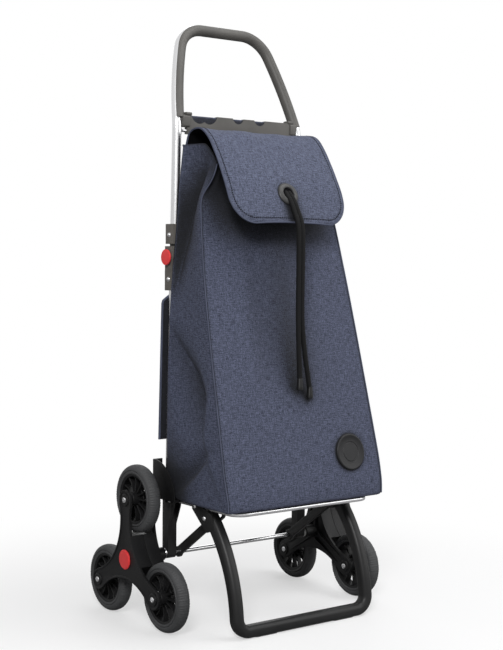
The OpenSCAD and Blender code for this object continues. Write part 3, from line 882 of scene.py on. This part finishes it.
def side_fold(t, z, side):
    """How far the side panel is drawn in, in millimetres, at place t from rear to front."""
    total = 0.0
    for k, fold in enumerate(FOLDS):
        centre = along(fold["line"], z) + 0.02 * wave(k + 3 * side, z * 0.012, 0)
        away = t - centre
        spread = along(fold["behind"] if away < 0 else fold["before"], z)
        shape = max(0.0, 1 - abs(away) / spread)
        total += along(fold["depth"], z) * shape ** (1.0 if away < 0 else 1.45)
    hold = min(1.0, 12 * t, 14 * (1 - t))
    soft = 2.2 * wave(5 + side, t * 2.2, z * 0.009) + 1.0 * wave(9 + side, t * 5.0, z * 0.03)
    return (total + soft) * max(0.0, hold) ** 0.6


def front_bulge(s, z):
    """How far the front panel stands forward of its seams, in millimetres, at place s from -1 to 1."""
    crown = along(CROWN, z) * (1 - abs(s) ** 2.6)
    gather = ease((z - 742) / 110)
    pleats = 6.5 * gather * math.sin(s * 23 + 0.8 * math.sin(s * 5)) * (1 - abs(s) ** 6)
    crease = -9.0 * math.exp(-((s + 0.30) / 0.17) ** 2) * ease((z - 330) / 200) * (1 - ease((z - 690) / 60))
    ripple = 1.7 * wave(21, s * 1.7, z * 0.007) + 0.7 * wave(23, s * 5.0, z * 0.02)
    soft = crease + ripple * (1 - abs(s) ** 4)
    return crown + pleats + soft


def bag_ring(z, inset=0.0):
    """Points round the bag at a height, with the length run so far, both in millimetres."""
    wide, front, rear = along(SEAM_X, z) - inset, along(SEAM_Y, z) + inset, along(REAR_X, z) - inset
    ring = []
    for i in range(REAR_COLUMNS):
        s = -1 + 2 * i / REAR_COLUMNS
        ring.append((s * rear, REAR_Y - inset + 1.5 * wave(31, s * 2, z * 0.01) * (1 - s * s)))
    for side in (1, -1):
        columns = []
        for i in range(SIDE_COLUMNS):
            t = i / SIDE_COLUMNS if side > 0 else 1 - i / SIDE_COLUMNS
            x = rear + (wide - rear) * t - side_fold(t, z, side)
            columns.append((side * x, REAR_Y - inset + (front - REAR_Y + inset) * t))
        ring += columns
        if side > 0:
            for i in range(FRONT_COLUMNS):
                s = 1 - 2 * i / FRONT_COLUMNS
                ring.append((s * wide, front - front_bulge(s, z)))
    lengths, total = [], 0.0
    for i, p in enumerate(ring):
        lengths.append(total)
        total += math.dist(p, ring[(i + 1) % len(ring)])
    return ring, lengths + [total]


def mouth_dip(x, y, z):
    """How far the mouth sinks towards the front, in millimetres."""
    forward = ease((-y - 55) / 35) * ease((z - 735) / 117)
    return 44 * forward + 2.5 * wave(41, x * 0.02, y * 0.02) * ease((z - 800) / 52)


def bag_rows():
    """Rows of points from the middle of the bottom, round its edge and up to the mouth, and their UVs."""
    rows, uvs = [], []
    radius = 6
    base, lengths = bag_ring(BAG_Z + radius)
    middle = (0, -110)
    for share in (0.03, 0.25, 0.5, 0.72, 0.86):
        sunk = BOARD_TOP + (BAG_Z - BOARD_TOP) * ease(share)
        rows.append([(middle[0] + (x - middle[0]) * share, middle[1] + (y - middle[1]) * share, sunk)
                     for x, y in base])
        uvs.append([(u * MM, (share - 1) * 0.1) for u in lengths])
    for i in range(5):
        turn = math.radians(90 * i / 5)
        inner, _ = bag_ring(BAG_Z + radius, radius * (1 - math.sin(turn)))
        rows.append([(x, y, BAG_Z + radius * (1 - math.cos(turn))) for x, y in inner])
        uvs.append([(u * MM, -radius * 1.5 * (1 - i / 5) * MM) for u in lengths])
    z = BAG_Z + radius
    heights = [z + (600 - z) * i / 76 for i in range(77)]
    heights += [600 + (MOUTH_Z - 600) * i / 54 for i in range(1, 55)]
    for z in heights:
        ring, lengths = bag_ring(z)
        rows.append([(x, y, z - mouth_dip(x, y, z)) for x, y in ring])
        half = lengths[-1] / 2
        uvs.append([((u - half) * MM, (z - BAG_Z) * MM) for u in lengths])
    return rows, uvs


def bag_shell():
    rows, uvs = bag_rows()
    n = len(rows[0])
    work = bmesh.new()
    layer = work.loops.layers.uv.new("UVMap")
    verts = [[work.verts.new(at(*p)) for p in row] for row in rows]
    for i in range(len(rows) - 1):
        for j in range(n):
            k = (j + 1) % n
            face = work.faces.new((verts[i][j], verts[i][k], verts[i + 1][k], verts[i + 1][j]))
            for loop, uv in zip(face.loops, (uvs[i][j], uvs[i][j + 1], uvs[i + 1][j + 1], uvs[i + 1][j])):
                loop[layer].uv = uv
    work.faces.new(verts[0])
    bmesh.ops.recalc_face_normals(work, faces=work.faces)
    if sum(f.normal.dot(f.calc_center_median() - at(0, -100, 500)) for f in work.faces) < 0:
        bmesh.ops.reverse_faces(work, faces=work.faces)
    held = set(verts[-1])
    for _ in range(2):
        bmesh.ops.smooth_vert(work, verts=[v for v in work.verts if v not in held], factor=0.5,
                              use_axis_x=True, use_axis_y=True, use_axis_z=False)
    mesh = bpy.data.meshes.new("shell")
    work.to_mesh(mesh)
    work.free()
    return mesh


def baked(obj):
    """The object's mesh with its modifiers applied."""
    graph = bpy.context.evaluated_depsgraph_get()
    mesh = bpy.data.meshes.new_from_object(obj.evaluated_get(graph), preserve_all_data_layers=True,
                                           depsgraph=graph)
    old = obj.data
    obj.modifiers.clear()
    obj.data = mesh
    bpy.data.meshes.remove(old)
    return obj


def thicken(obj, thickness, inner=None):
    if inner:
        obj.data.materials.append(MAT[inner])
    wall = obj.modifiers.new("wall", "SOLIDIFY")
    wall.thickness = thickness
    wall.offset = -1
    if inner:
        wall.material_offset = 1
        wall.material_offset_rim = 0
    return baked(obj)


def split_at(obj, height, names):
    """Two objects, below and above a height, whose normals agree along the cut."""
    obj.data.update()
    normals = {tuple(round(c, 6) for c in v.co): v.normal.copy() for v in obj.data.vertices}
    halves = []
    for name, keep_low in zip(names, (True, False)):
        work = bmesh.new()
        work.from_mesh(obj.data)
        away = [f for f in work.faces if (f.calc_center_median().z < height) != keep_low]
        bmesh.ops.delete(work, geom=away, context="FACES")
        mesh = bpy.data.meshes.new(name)
        work.to_mesh(mesh)
        work.free()
        for material in obj.data.materials:
            mesh.materials.append(material)
        half = bpy.data.objects.new(name, mesh)
        bpy.context.scene.collection.objects.link(half)
        mesh.normals_split_custom_set_from_vertices(
            [normals[tuple(round(c, 6) for c in v.co)] for v in mesh.vertices])
        halves.append(half)
    bpy.data.objects.remove(obj)
    return halves


def build_bag():
    mesh = bag_shell()
    points = [v.co.copy() for v in mesh.vertices]
    shell = new_piece("bag_shell", mesh, "cloth", None, 180)
    thicken(shell, 0.0022, "lining")
    low, high = split_at(shell, BAG_SPLIT, ("bag_lower_cloth", "bag_upper_cloth"))
    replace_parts(low, "bag_lower")
    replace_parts(high, "bag_upper")
    row_count = len(points) // COLUMNS
    lower_pipes, upper_pipes = [], []
    for side in ("left", "right"):
        seam = [points[i * COLUMNS + SEAM_COLUMN[side]] for i in range(SEAM_START_ROW, row_count)]
        line = [p + Vector((SIDES[side] * 0.0004, -0.0006, 0)) for p in seam]
        lower = [p for p in line if p.z <= BAG_SPLIT + 0.004]
        upper = [p for p in line if p.z >= BAG_SPLIT]
        lower_pipes.append(sweep("piping", lower, circle(0.0012, 10), Vector((0, -1, 0))))
        upper_pipes.append(sweep("piping", upper, circle(0.0012, 10), Vector((0, -1, 0))))
    trims = [joined("bag_piping_lower", lower_pipes, "thread_cloth"),
             joined("bag_piping_upper", upper_pipes, "thread_cloth")]
    for obj in (low, trims[0]):
        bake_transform(obj)
    for obj in (high, trims[1]):
        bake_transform(obj)


build_bag()


# ---- flap ----

FLAP_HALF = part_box("flap")[1].x / MM
FLAP_CORNER = 50
# Middle of the flap in side view, from the bag's rear edge over the top to its lower edge, in millimetres
FLAP_CURVE = [(-14, 852), (-25, 876), (-48, 884), (-75, 876), (-106, 842), (-143, 781), (-168, 714)]
EYELET_X, EYELET_Z = -6, 765


def resampled(points, count):
    """Evenly spaced points on a smooth curve through (y, z) points."""
    dense = []
    ys = [(i, p[0]) for i, p in enumerate(points)]
    zs = [(i, p[1]) for i, p in enumerate(points)]
    for i in range(24 * (len(points) - 1) + 1):
        dense.append((along(ys, i / 24), along(zs, i / 24)))
    run = [0.0]
    for a, b in zip(dense, dense[1:]):
        run.append(run[-1] + math.dist(a, b))
    made, k = [], 0
    for i in range(count):
        goal = run[-1] * i / (count - 1)
        while k < len(run) - 2 and run[k + 1] < goal:
            k += 1
        u = (goal - run[k]) / (run[k + 1] - run[k])
        made.append((dense[k][0] + (dense[k + 1][0] - dense[k][0]) * u,
                     dense[k][1] + (dense[k + 1][1] - dense[k][1]) * u))
    return made, run[-1]


FLAP_ROWS = 72
FLAP_SIDE, FLAP_LENGTH = resampled(FLAP_CURVE, FLAP_ROWS)


def flap_half_at(run):
    """Half-width of the flap at a distance along it: straight edges, then rounded lower corners."""
    left = FLAP_LENGTH - run
    if left >= FLAP_CORNER:
        return FLAP_HALF
    return FLAP_HALF - FLAP_CORNER + math.sqrt(max(0.0, FLAP_CORNER ** 2 - (FLAP_CORNER - left) ** 2))


def flap_normal(i):
    a, b = FLAP_SIDE[max(i - 1, 0)], FLAP_SIDE[min(i + 1, FLAP_ROWS - 1)]
    d = math.dist(a, b)
    return (b[1] - a[1]) / d, -(b[0] - a[0]) / d


def flap_point(s, run, out=0.0):
    """A point on the flap: s from -1 to 1 across, run millimetres along, out millimetres above it."""
    place = run / FLAP_LENGTH * (FLAP_ROWS - 1)
    i = min(FLAP_ROWS - 2, int(place))
    u = place - i
    (y0, z0), (y1, z1) = FLAP_SIDE[i], FLAP_SIDE[i + 1]
    ny, nz = flap_normal(i)
    share = run / FLAP_LENGTH
    curl = -3.5 * abs(s) ** 5 * ease((share - 0.2) / 0.6)
    dip = -4.0 * math.exp(-((share - 0.27) / 0.10) ** 2) * (1 - abs(s) ** 2)
    dip *= 0.6 + 0.4 * math.cos(s * 9)
    soft = 1.6 * wave(51, s * 1.6, share * 3) + 0.6 * wave(53, s * 5, share * 9)
    crown = 5.0 * (1 - s * s) * ease((share - 0.35) / 0.4)
    lift = out + (curl + dip + soft) * ease(share * 8) + crown
    return (s * flap_half_at(run), y0 + (y1 - y0) * u + ny * lift, z0 + (z1 - z0) * u + nz * lift)


def flap_edge(inset, step=2.0):
    """Points round the flap's free edge, from its left rear corner to its right rear corner."""
    scale = 1 - inset / FLAP_HALF
    straight = FLAP_LENGTH - FLAP_CORNER
    middle = FLAP_HALF - FLAP_CORNER
    reach = FLAP_CORNER - inset

    def across(x, run):
        return x / flap_half_at(min(run, FLAP_LENGTH - 0.01)), run

    left = [(-scale, i * step) for i in range(2, int(straight / step))]
    for i in range(19):
        a = math.radians(90 * i / 18)
        left.append(across(-middle - reach * math.cos(a), straight + reach * math.sin(a)))
    flat = int(2 * middle / (3 * step))
    bottom = [across(-middle * (1 - 2 * i / flat), FLAP_LENGTH - inset) for i in range(1, flat)]
    return left + bottom + [(-s, run) for s, run in reversed(left)]


def stitches(name, path, normals, body, length=0.0026, pitch=0.0042, size=0.0007):
    """A row of short raised threads along a path of points."""
    run, parts = 0.0, []
    goal = pitch
    for i in range(len(path) - 1):
        a, b = path[i], path[i + 1]
        d = (b - a).length
        while run + d > goal:
            u = (goal - run) / d
            p = a.lerp(b, u)
            ahead = (b - a).normalized()
            up = normals[i].normalized()
            side = ahead.cross(up)
            corners = []
            for e, w in ((-1, 0.5), (-0.6, 1), (0.6, 1), (1, 0.5)):
                middle = p + ahead * (e * length / 2)
                corners.append([middle + side * (math.cos(t) * size * w) + up * (math.sin(t) * size * w)
                                for t in (0, 1.26, 2.51, 3.77, 5.03)])
            parts.append(grid("stitch", corners, closed=True))
            goal += pitch
        run += d
    return joined(name, parts, "thread", body, 80)


def build_flap():
    columns = 90
    rows, uvs = [], []
    for i in range(FLAP_ROWS * 2 - 1):
        run = FLAP_LENGTH * i / (FLAP_ROWS * 2 - 2)
        run = min(run, FLAP_LENGTH - 0.02)
        row = [flap_point(-1 + 2 * j / columns, run) for j in range(columns + 1)]
        rows.append([at(*p) for p in row])
        uvs.append([(p[0] * MM, -run * MM) for p in row])
    # The flap sheet takes the lighter cloth, painted light for its upward-facing top
    sheet = new_piece("flap_cloth", grid("flap", rows, uvs=uvs), "flap_cloth", None, 180)
    toward = sheet.data.polygons[len(sheet.data.polygons) * 3 // 4].normal
    if toward.y > 0:
        sheet.data.flip_normals()
    thicken(sheet, 0.0026, "lining")
    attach(sheet, "flap_cover")
    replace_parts(sheet, "flap")
    edge = [at(*flap_point(s, min(r, FLAP_LENGTH - 0.5), -1.2)) for s, r in flap_edge(0.5)]
    binding = sweep("binding", edge, rounded(0.0030, 0.0034, 0.0012, 3), Vector((0, -1, 0.3)))
    joined("flap_binding", [binding], "thread_cloth", "flap_cover")
    inner = flap_edge(8.0)
    path = [at(*flap_point(s, r, 0.25)) for s, r in inner]
    normals = [at(*flap_point(s, r, 2)) - at(*flap_point(s, r, 0)) for s, r in inner]
    stitches("flap_stitches", path, normals, "flap_cover")


build_flap()


# ---- eyelet and cords ----


def tube(name, points, radius, spacing, around, pattern=None):
    """A round tube along a smooth curve through points; pattern(angle, run) scales its radius."""
    stops = [[(i, p[k]) for i, p in enumerate(points)] for k in range(3)]
    dense = [Vector([along(stop, i / 40) for stop in stops]) for i in range(40 * (len(points) - 1) + 1)]
    path, run, goal = [dense[0]], 0.0, spacing
    for a, b in zip(dense, dense[1:]):
        d = (b - a).length
        while run + d > goal:
            path.append(a.lerp(b, (goal - run) / d))
            goal += spacing
        run += d
    rows = []
    for i, (p, (_, side, over)) in enumerate(zip(path, frames_along(path, Vector((0, -1, 0.02))))):
        ring = []
        for j in range(around):
            a = 2 * math.pi * j / around
            r = radius * (pattern(a, i * spacing) if pattern else 1)
            ring.append(p + side * (r * math.cos(a)) + over * (r * math.sin(a)))
        rows.append(ring)
    return outward(grid(name, rows, closed=True))


def braid(angle, run):
    twist = 2 * math.pi * run / 0.0085
    over = math.cos(4 * angle + twist) * math.cos(4 * angle - twist)
    fine = math.cos(24 * angle + 3 * twist) * 0.012
    return 1 + 0.075 * over + fine


def build_eyelet():
    (y0, z0), (y1, z1) = (-143.5, 780.5), (-159.5, 746)
    d = math.dist((y0, z0), (y1, z1))
    normal = Vector((0, (z1 - z0) / d, -(y1 - y0) / d))
    foot = at(*flap_point(EYELET_X / FLAP_HALF, eyelet_run(), 0))
    turn = normal.to_track_quat("Z", "Y").to_matrix().to_4x4()
    put = Matrix.Translation(foot + normal * 0.0004) @ turn
    ring = [(0.0, 0.0118), (0.0022, 0.0114), (0.0036, 0.0122), (0.0040, 0.0135), (0.0037, 0.0155),
            (0.0030, 0.0185), (0.0019, 0.0204), (0.0006, 0.0211), (0.0, 0.0211)]
    mesh = lathe("ring", ring, Vector(), "Z", 96)
    mesh.transform(put)
    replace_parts(joined("eyelet_visual", [mesh], "ring", "flap_cover", 50), "eyelet")
    # Painted shade: a flat black disc inside the ring stands in for the dark opening of the eyelet
    disc = [(0.0002, 0.0001), (0.0005, 0.0001), (0.0007, 0.0118), (0.0001, 0.0119)]
    shade_disc = lathe("shade_disc", disc, Vector(), "Z", 64)
    shade_disc.transform(put)
    joined("eyelet_shade_disc", [shade_disc], "lining", "flap_cover", 50)
    return foot


def eyelet_run():
    """Distance along the flap at which the eyelet sits: the row of the front sheet nearest to its height."""
    misses = [(abs(FLAP_SIDE[i][1] - EYELET_Z), i) for i in range(FLAP_ROWS // 3, FLAP_ROWS)]
    return FLAP_LENGTH * min(misses)[1] / (FLAP_ROWS - 1)


def build_cords():
    foot = build_eyelet()
    fy, fz = (foot.y - AXLE_Y) / MM, foot.z / MM
    hang_y = (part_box("cords")[0].y - AXLE_Y) / MM + 4
    cords, ends = [], []
    for k, (x_end, z_end, x_top) in enumerate(((1, 440, -4.0), (24, 424, 4.4))):
        shift = -4.0 if k == 0 else 4.6
        stops = [(EYELET_X + x_top * 0.8, fy + 3, fz + 3), (EYELET_X + x_top, fy - 4, fz - 3.5),
                 (EYELET_X + x_top + 2, fy - 10.5, fz - 13), (x_top - 1.5, fy - 17.5, fz - 30),
                 (shift + 1.5, fy - 26, fz - 56), (shift + 1.8, hang_y + 1.5, fz - 96),
                 (shift + 0.5, hang_y + 0.5, 560),
                 (shift + 1.8 + 3 * k, hang_y, 500), (x_end, hang_y, z_end - 6)]
        points = [at(*p) for p in stops]
        cords.append(tube("cord", points, 0.0043, 0.0009, 24, braid))
        tip = [(-0.0212, 0.0001), (-0.0212, 0.0052), (-0.0205, 0.0059), (-0.0152, 0.0060), (-0.0140, 0.0056),
               (-0.0012, 0.0049), (0.0, 0.0044), (0.0, 0.0036)]
        ends.append(lathe("tip", tip, at(x_end, hang_y, z_end), "Z", 36))
    cord = joined("cords_visual", cords, "cord", None, 80)
    low, high = split_at(cord, 0.7, ("cords_lower", "cords_upper"))
    for obj in (low, high):
        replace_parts(obj, "cords")
    end = joined("cord_ends_visual", ends, "cluster", None, 40)
    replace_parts(end, "cord_ends")
    for obj in (low, end):
        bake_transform(obj)
    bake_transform(high)


build_cords()


# ---- badge and rear pocket ----


def front_point(x, z):
    return at(x, along(SEAM_Y, z) - front_bulge(x / along(SEAM_X, z), z), z)


def build_badge():
    middle = centre_of("badge")
    x, z = middle.x / MM, middle.z / MM
    foot = front_point(x, z)
    rise = front_point(x, z + 30) - front_point(x, z - 30)
    across = front_point(x + 30, z) - front_point(x - 30, z)
    normal = across.cross(rise).normalized()
    turn = Matrix((across.normalized(), rise.normalized(), normal)).transposed().to_4x4()
    put = Matrix.Translation(foot + normal * 0.0006) @ turn
    disc = [(-0.001, 0.0001), (0.0024, 0.0001), (0.0024, 0.0165), (0.0017, 0.0172), (0.0017, 0.0186),
            (0.0024, 0.0193), (0.0027, 0.0285), (0.0034, 0.0295), (0.0034, 0.0315), (0.0026, 0.0326),
            (0.0010, 0.0331), (-0.001, 0.0331)]
    mesh = lathe("disc", disc, Vector(), "Z", 96)
    mesh.transform(put)
    badge = joined("badge_visual", [mesh], "badge", None, 40)
    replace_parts(badge, "badge")
    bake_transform(badge)


build_badge()


def build_pocket():
    low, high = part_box("rear_pocket")
    columns, levels = 60, 52
    height = (high.z - low.z) / MM

    def half_at(share):
        taper = 166 - 6 * share
        top = ease((share - 0.93) / 0.07) * 20
        return taper - top

    def sheet(y, bulge, sign):
        rows, uvs = [], []
        for i in range(levels + 1):
            share = i / levels
            row, uv = [], []
            for j in range(columns + 1):
                s = -1 + 2 * j / columns
                x = s * half_at(share)
                z = low.z / MM + height * share
                edge = (1 - abs(s) ** 8) * (1 - abs(2 * share - 1) ** 8)
                out = bulge * edge * (0.75 + 0.25 * wave(61, s * 2, share * 3))
                out *= math.sin(math.pi * min(1, share + 0.12))
                row.append(at(x, y + sign * (out + 0.9 * edge * wave(63, s * 4, share * 7)), z))
                uv.append((x * MM, z * MM))
            rows.append(row)
            uvs.append(uv)
        return grid("sheet", rows, uvs=uvs)

    near = (low.y - AXLE_Y) / MM
    work = bmesh.new()
    for mesh in (sheet(near + 0.2, 0.6, -1), sheet(near + 3.0, 9, 1)):
        work.from_mesh(mesh)
    rim = [e for e in work.edges if e.is_boundary]
    bmesh.ops.bridge_loops(work, edges=rim)
    bmesh.ops.recalc_face_normals(work, faces=work.faces)
    mesh = bpy.data.meshes.new("pocket")
    work.to_mesh(mesh)
    work.free()
    pocket = new_piece("rear_pocket_visual", mesh, "cloth", "frame", 50)
    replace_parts(pocket, "rear_pocket")
    edge = []
    for i in range(levels + 1):
        share = i / levels
        edge.append(at(-half_at(share), near + 1.6, low.z / MM + height * share))
    for j in range(1, 24):
        edge.append(at(-half_at(1) + 2 * half_at(1) * j / 24, near + 1.6, high.z / MM))
    for i in range(levels, -1, -1):
        share = i / levels
        edge.append(at(half_at(share), near + 1.6, low.z / MM + height * share))
    binding = sweep("binding", edge, rounded(0.0032, 0.0046, 0.0013, 3), Vector((0, 1, 0)))
    joined("pocket_binding", [binding], "thread_cloth", "frame")


build_pocket()


# ---- floor, light and camera ----

AMBIENT = 0.19
# Area lamps: name, place, size and power
LAMPS = (("key", (-2.1, -2.35, 2.2), 0.9, 80), ("fill", (2.2, -2.0, 1.6), 2.0, 24),
         ("back", (1.4, 2.2, 2.4), 2.2, 20), ("over", (0.8, -1.0, 3.1), 2.0, 42))
CAMERA_PLACE = (-1.4658, -1.9434, 0.6431)
CAMERA_YAW, CAMERA_PITCH, CAMERA_ROLL = 37.2, 2.7, 0.4
LENS = 72.5


def build_stage():
    floor_mat, nodes, links, shader = new_material("floor", (0.9, 0.9, 0.905), 0.7)
    vector = coordinates(nodes, links, (1, 1, 1))
    cloudy = noise_node(nodes, links, vector, 3.0)
    pale = ramp(nodes, links, cloudy, [(0.3, (0.89, 0.89, 0.895)), (0.7, (0.91, 0.91, 0.915))])
    rays = nodes.new("ShaderNodeLightPath")
    dimmed = nodes.new("ShaderNodeVectorMath")
    dimmed.operation = "SCALE"
    links.new(pale, dimmed.inputs[0])
    bright = maths(nodes, links, "MULTIPLY_ADD", rays.outputs["Is Camera Ray"], 0.7, 0.3)
    links.new(bright, dimmed.inputs["Scale"])
    links.new(dimmed.outputs["Vector"], shader.inputs["Base Color"])
    away = nodes.new("ShaderNodeVectorMath")
    away.operation = "LENGTH"
    links.new(vector, away.inputs[0])
    fade = nodes.new("ShaderNodeMapRange")
    fade.interpolation_type = "SMOOTHSTEP"
    fade.inputs["From Min"].default_value = 0.32
    fade.inputs["To Min"].default_value = 0.5
    fade.inputs["From Max"].default_value = 1.0
    links.new(away.outputs["Value"], fade.inputs["Value"])
    share = maths(nodes, links, "MULTIPLY", fade.outputs["Result"], rays.outputs["Is Camera Ray"])
    white = nodes.new("ShaderNodeEmission")
    choice = nodes.new("ShaderNodeMixShader")
    links.new(share, choice.inputs["Fac"])
    links.new(shader.outputs["BSDF"], choice.inputs[1])
    links.new(white.outputs["Emission"], choice.inputs[2])
    links.new(choice.outputs["Shader"], nodes["Material Output"].inputs["Surface"])
    rows = [[Vector((x, y, -0.0005)) for x in (-60, 0, 60)] for y in (-60, 0, 60)]
    floor = bpy.data.objects.new("floor", grid("floor", rows))
    floor.data.materials.append(floor_mat)
    bpy.context.scene.collection.objects.link(floor)
    world = bpy.data.worlds.new("studio")
    bpy.context.scene.world = world
    world.use_nodes = True
    nodes, links = world.node_tree.nodes, world.node_tree.links
    soft = nodes["Background"]
    soft.inputs["Color"].default_value = (1, 1, 1, 1)
    soft.inputs["Strength"].default_value = AMBIENT
    white = nodes.new("ShaderNodeBackground")
    white.inputs["Strength"].default_value = 1.0
    white.inputs["Color"].default_value = (1, 1, 1, 1)
    rays = nodes.new("ShaderNodeLightPath")
    gleam = maths(nodes, links, "MULTIPLY", rays.outputs["Is Glossy Ray"], 0.75)
    choice = nodes.new("ShaderNodeMixShader")
    links.new(maths(nodes, links, "MAXIMUM", rays.outputs["Is Camera Ray"], gleam), choice.inputs["Fac"])
    links.new(soft.outputs["Background"], choice.inputs[1])
    links.new(white.outputs["Background"], choice.inputs[2])
    links.new(choice.outputs["Shader"], nodes["World Output"].inputs["Surface"])
    for name, place, size, power in LAMPS:
        lamp = bpy.data.lights.new(name, "AREA")
        lamp.energy = power
        lamp.size = size
        obj = bpy.data.objects.new(name, lamp)
        obj.location = place
        obj.rotation_mode = "QUATERNION"
        obj.rotation_quaternion = (Vector((0, 0, 0.5)) - obj.location).to_track_quat("-Z", "Y")
        bpy.context.scene.collection.objects.link(obj)


def build_camera():
    yaw, pitch, roll = (math.radians(a) for a in (CAMERA_YAW, CAMERA_PITCH, CAMERA_ROLL))
    ahead = Vector((math.sin(yaw) * math.cos(pitch), math.cos(yaw) * math.cos(pitch), -math.sin(pitch)))
    right = Vector((math.cos(yaw), -math.sin(yaw), 0))
    over = right.cross(ahead)
    right, over = (right * math.cos(roll) + over * math.sin(roll),
                   over * math.cos(roll) - right * math.sin(roll))
    data = bpy.data.cameras.new("camera")
    data.sensor_width = 36
    data.lens = LENS
    camera = bpy.data.objects.new("camera", data)
    turn = Matrix((right, over, -ahead)).transposed().to_4x4()
    camera.matrix_world = Matrix.Translation(CAMERA_PLACE) @ turn
    bpy.context.scene.collection.objects.link(camera)
    bpy.context.scene.camera = camera


build_stage()
build_camera()
bpy.context.scene.view_settings.view_transform = "Standard"
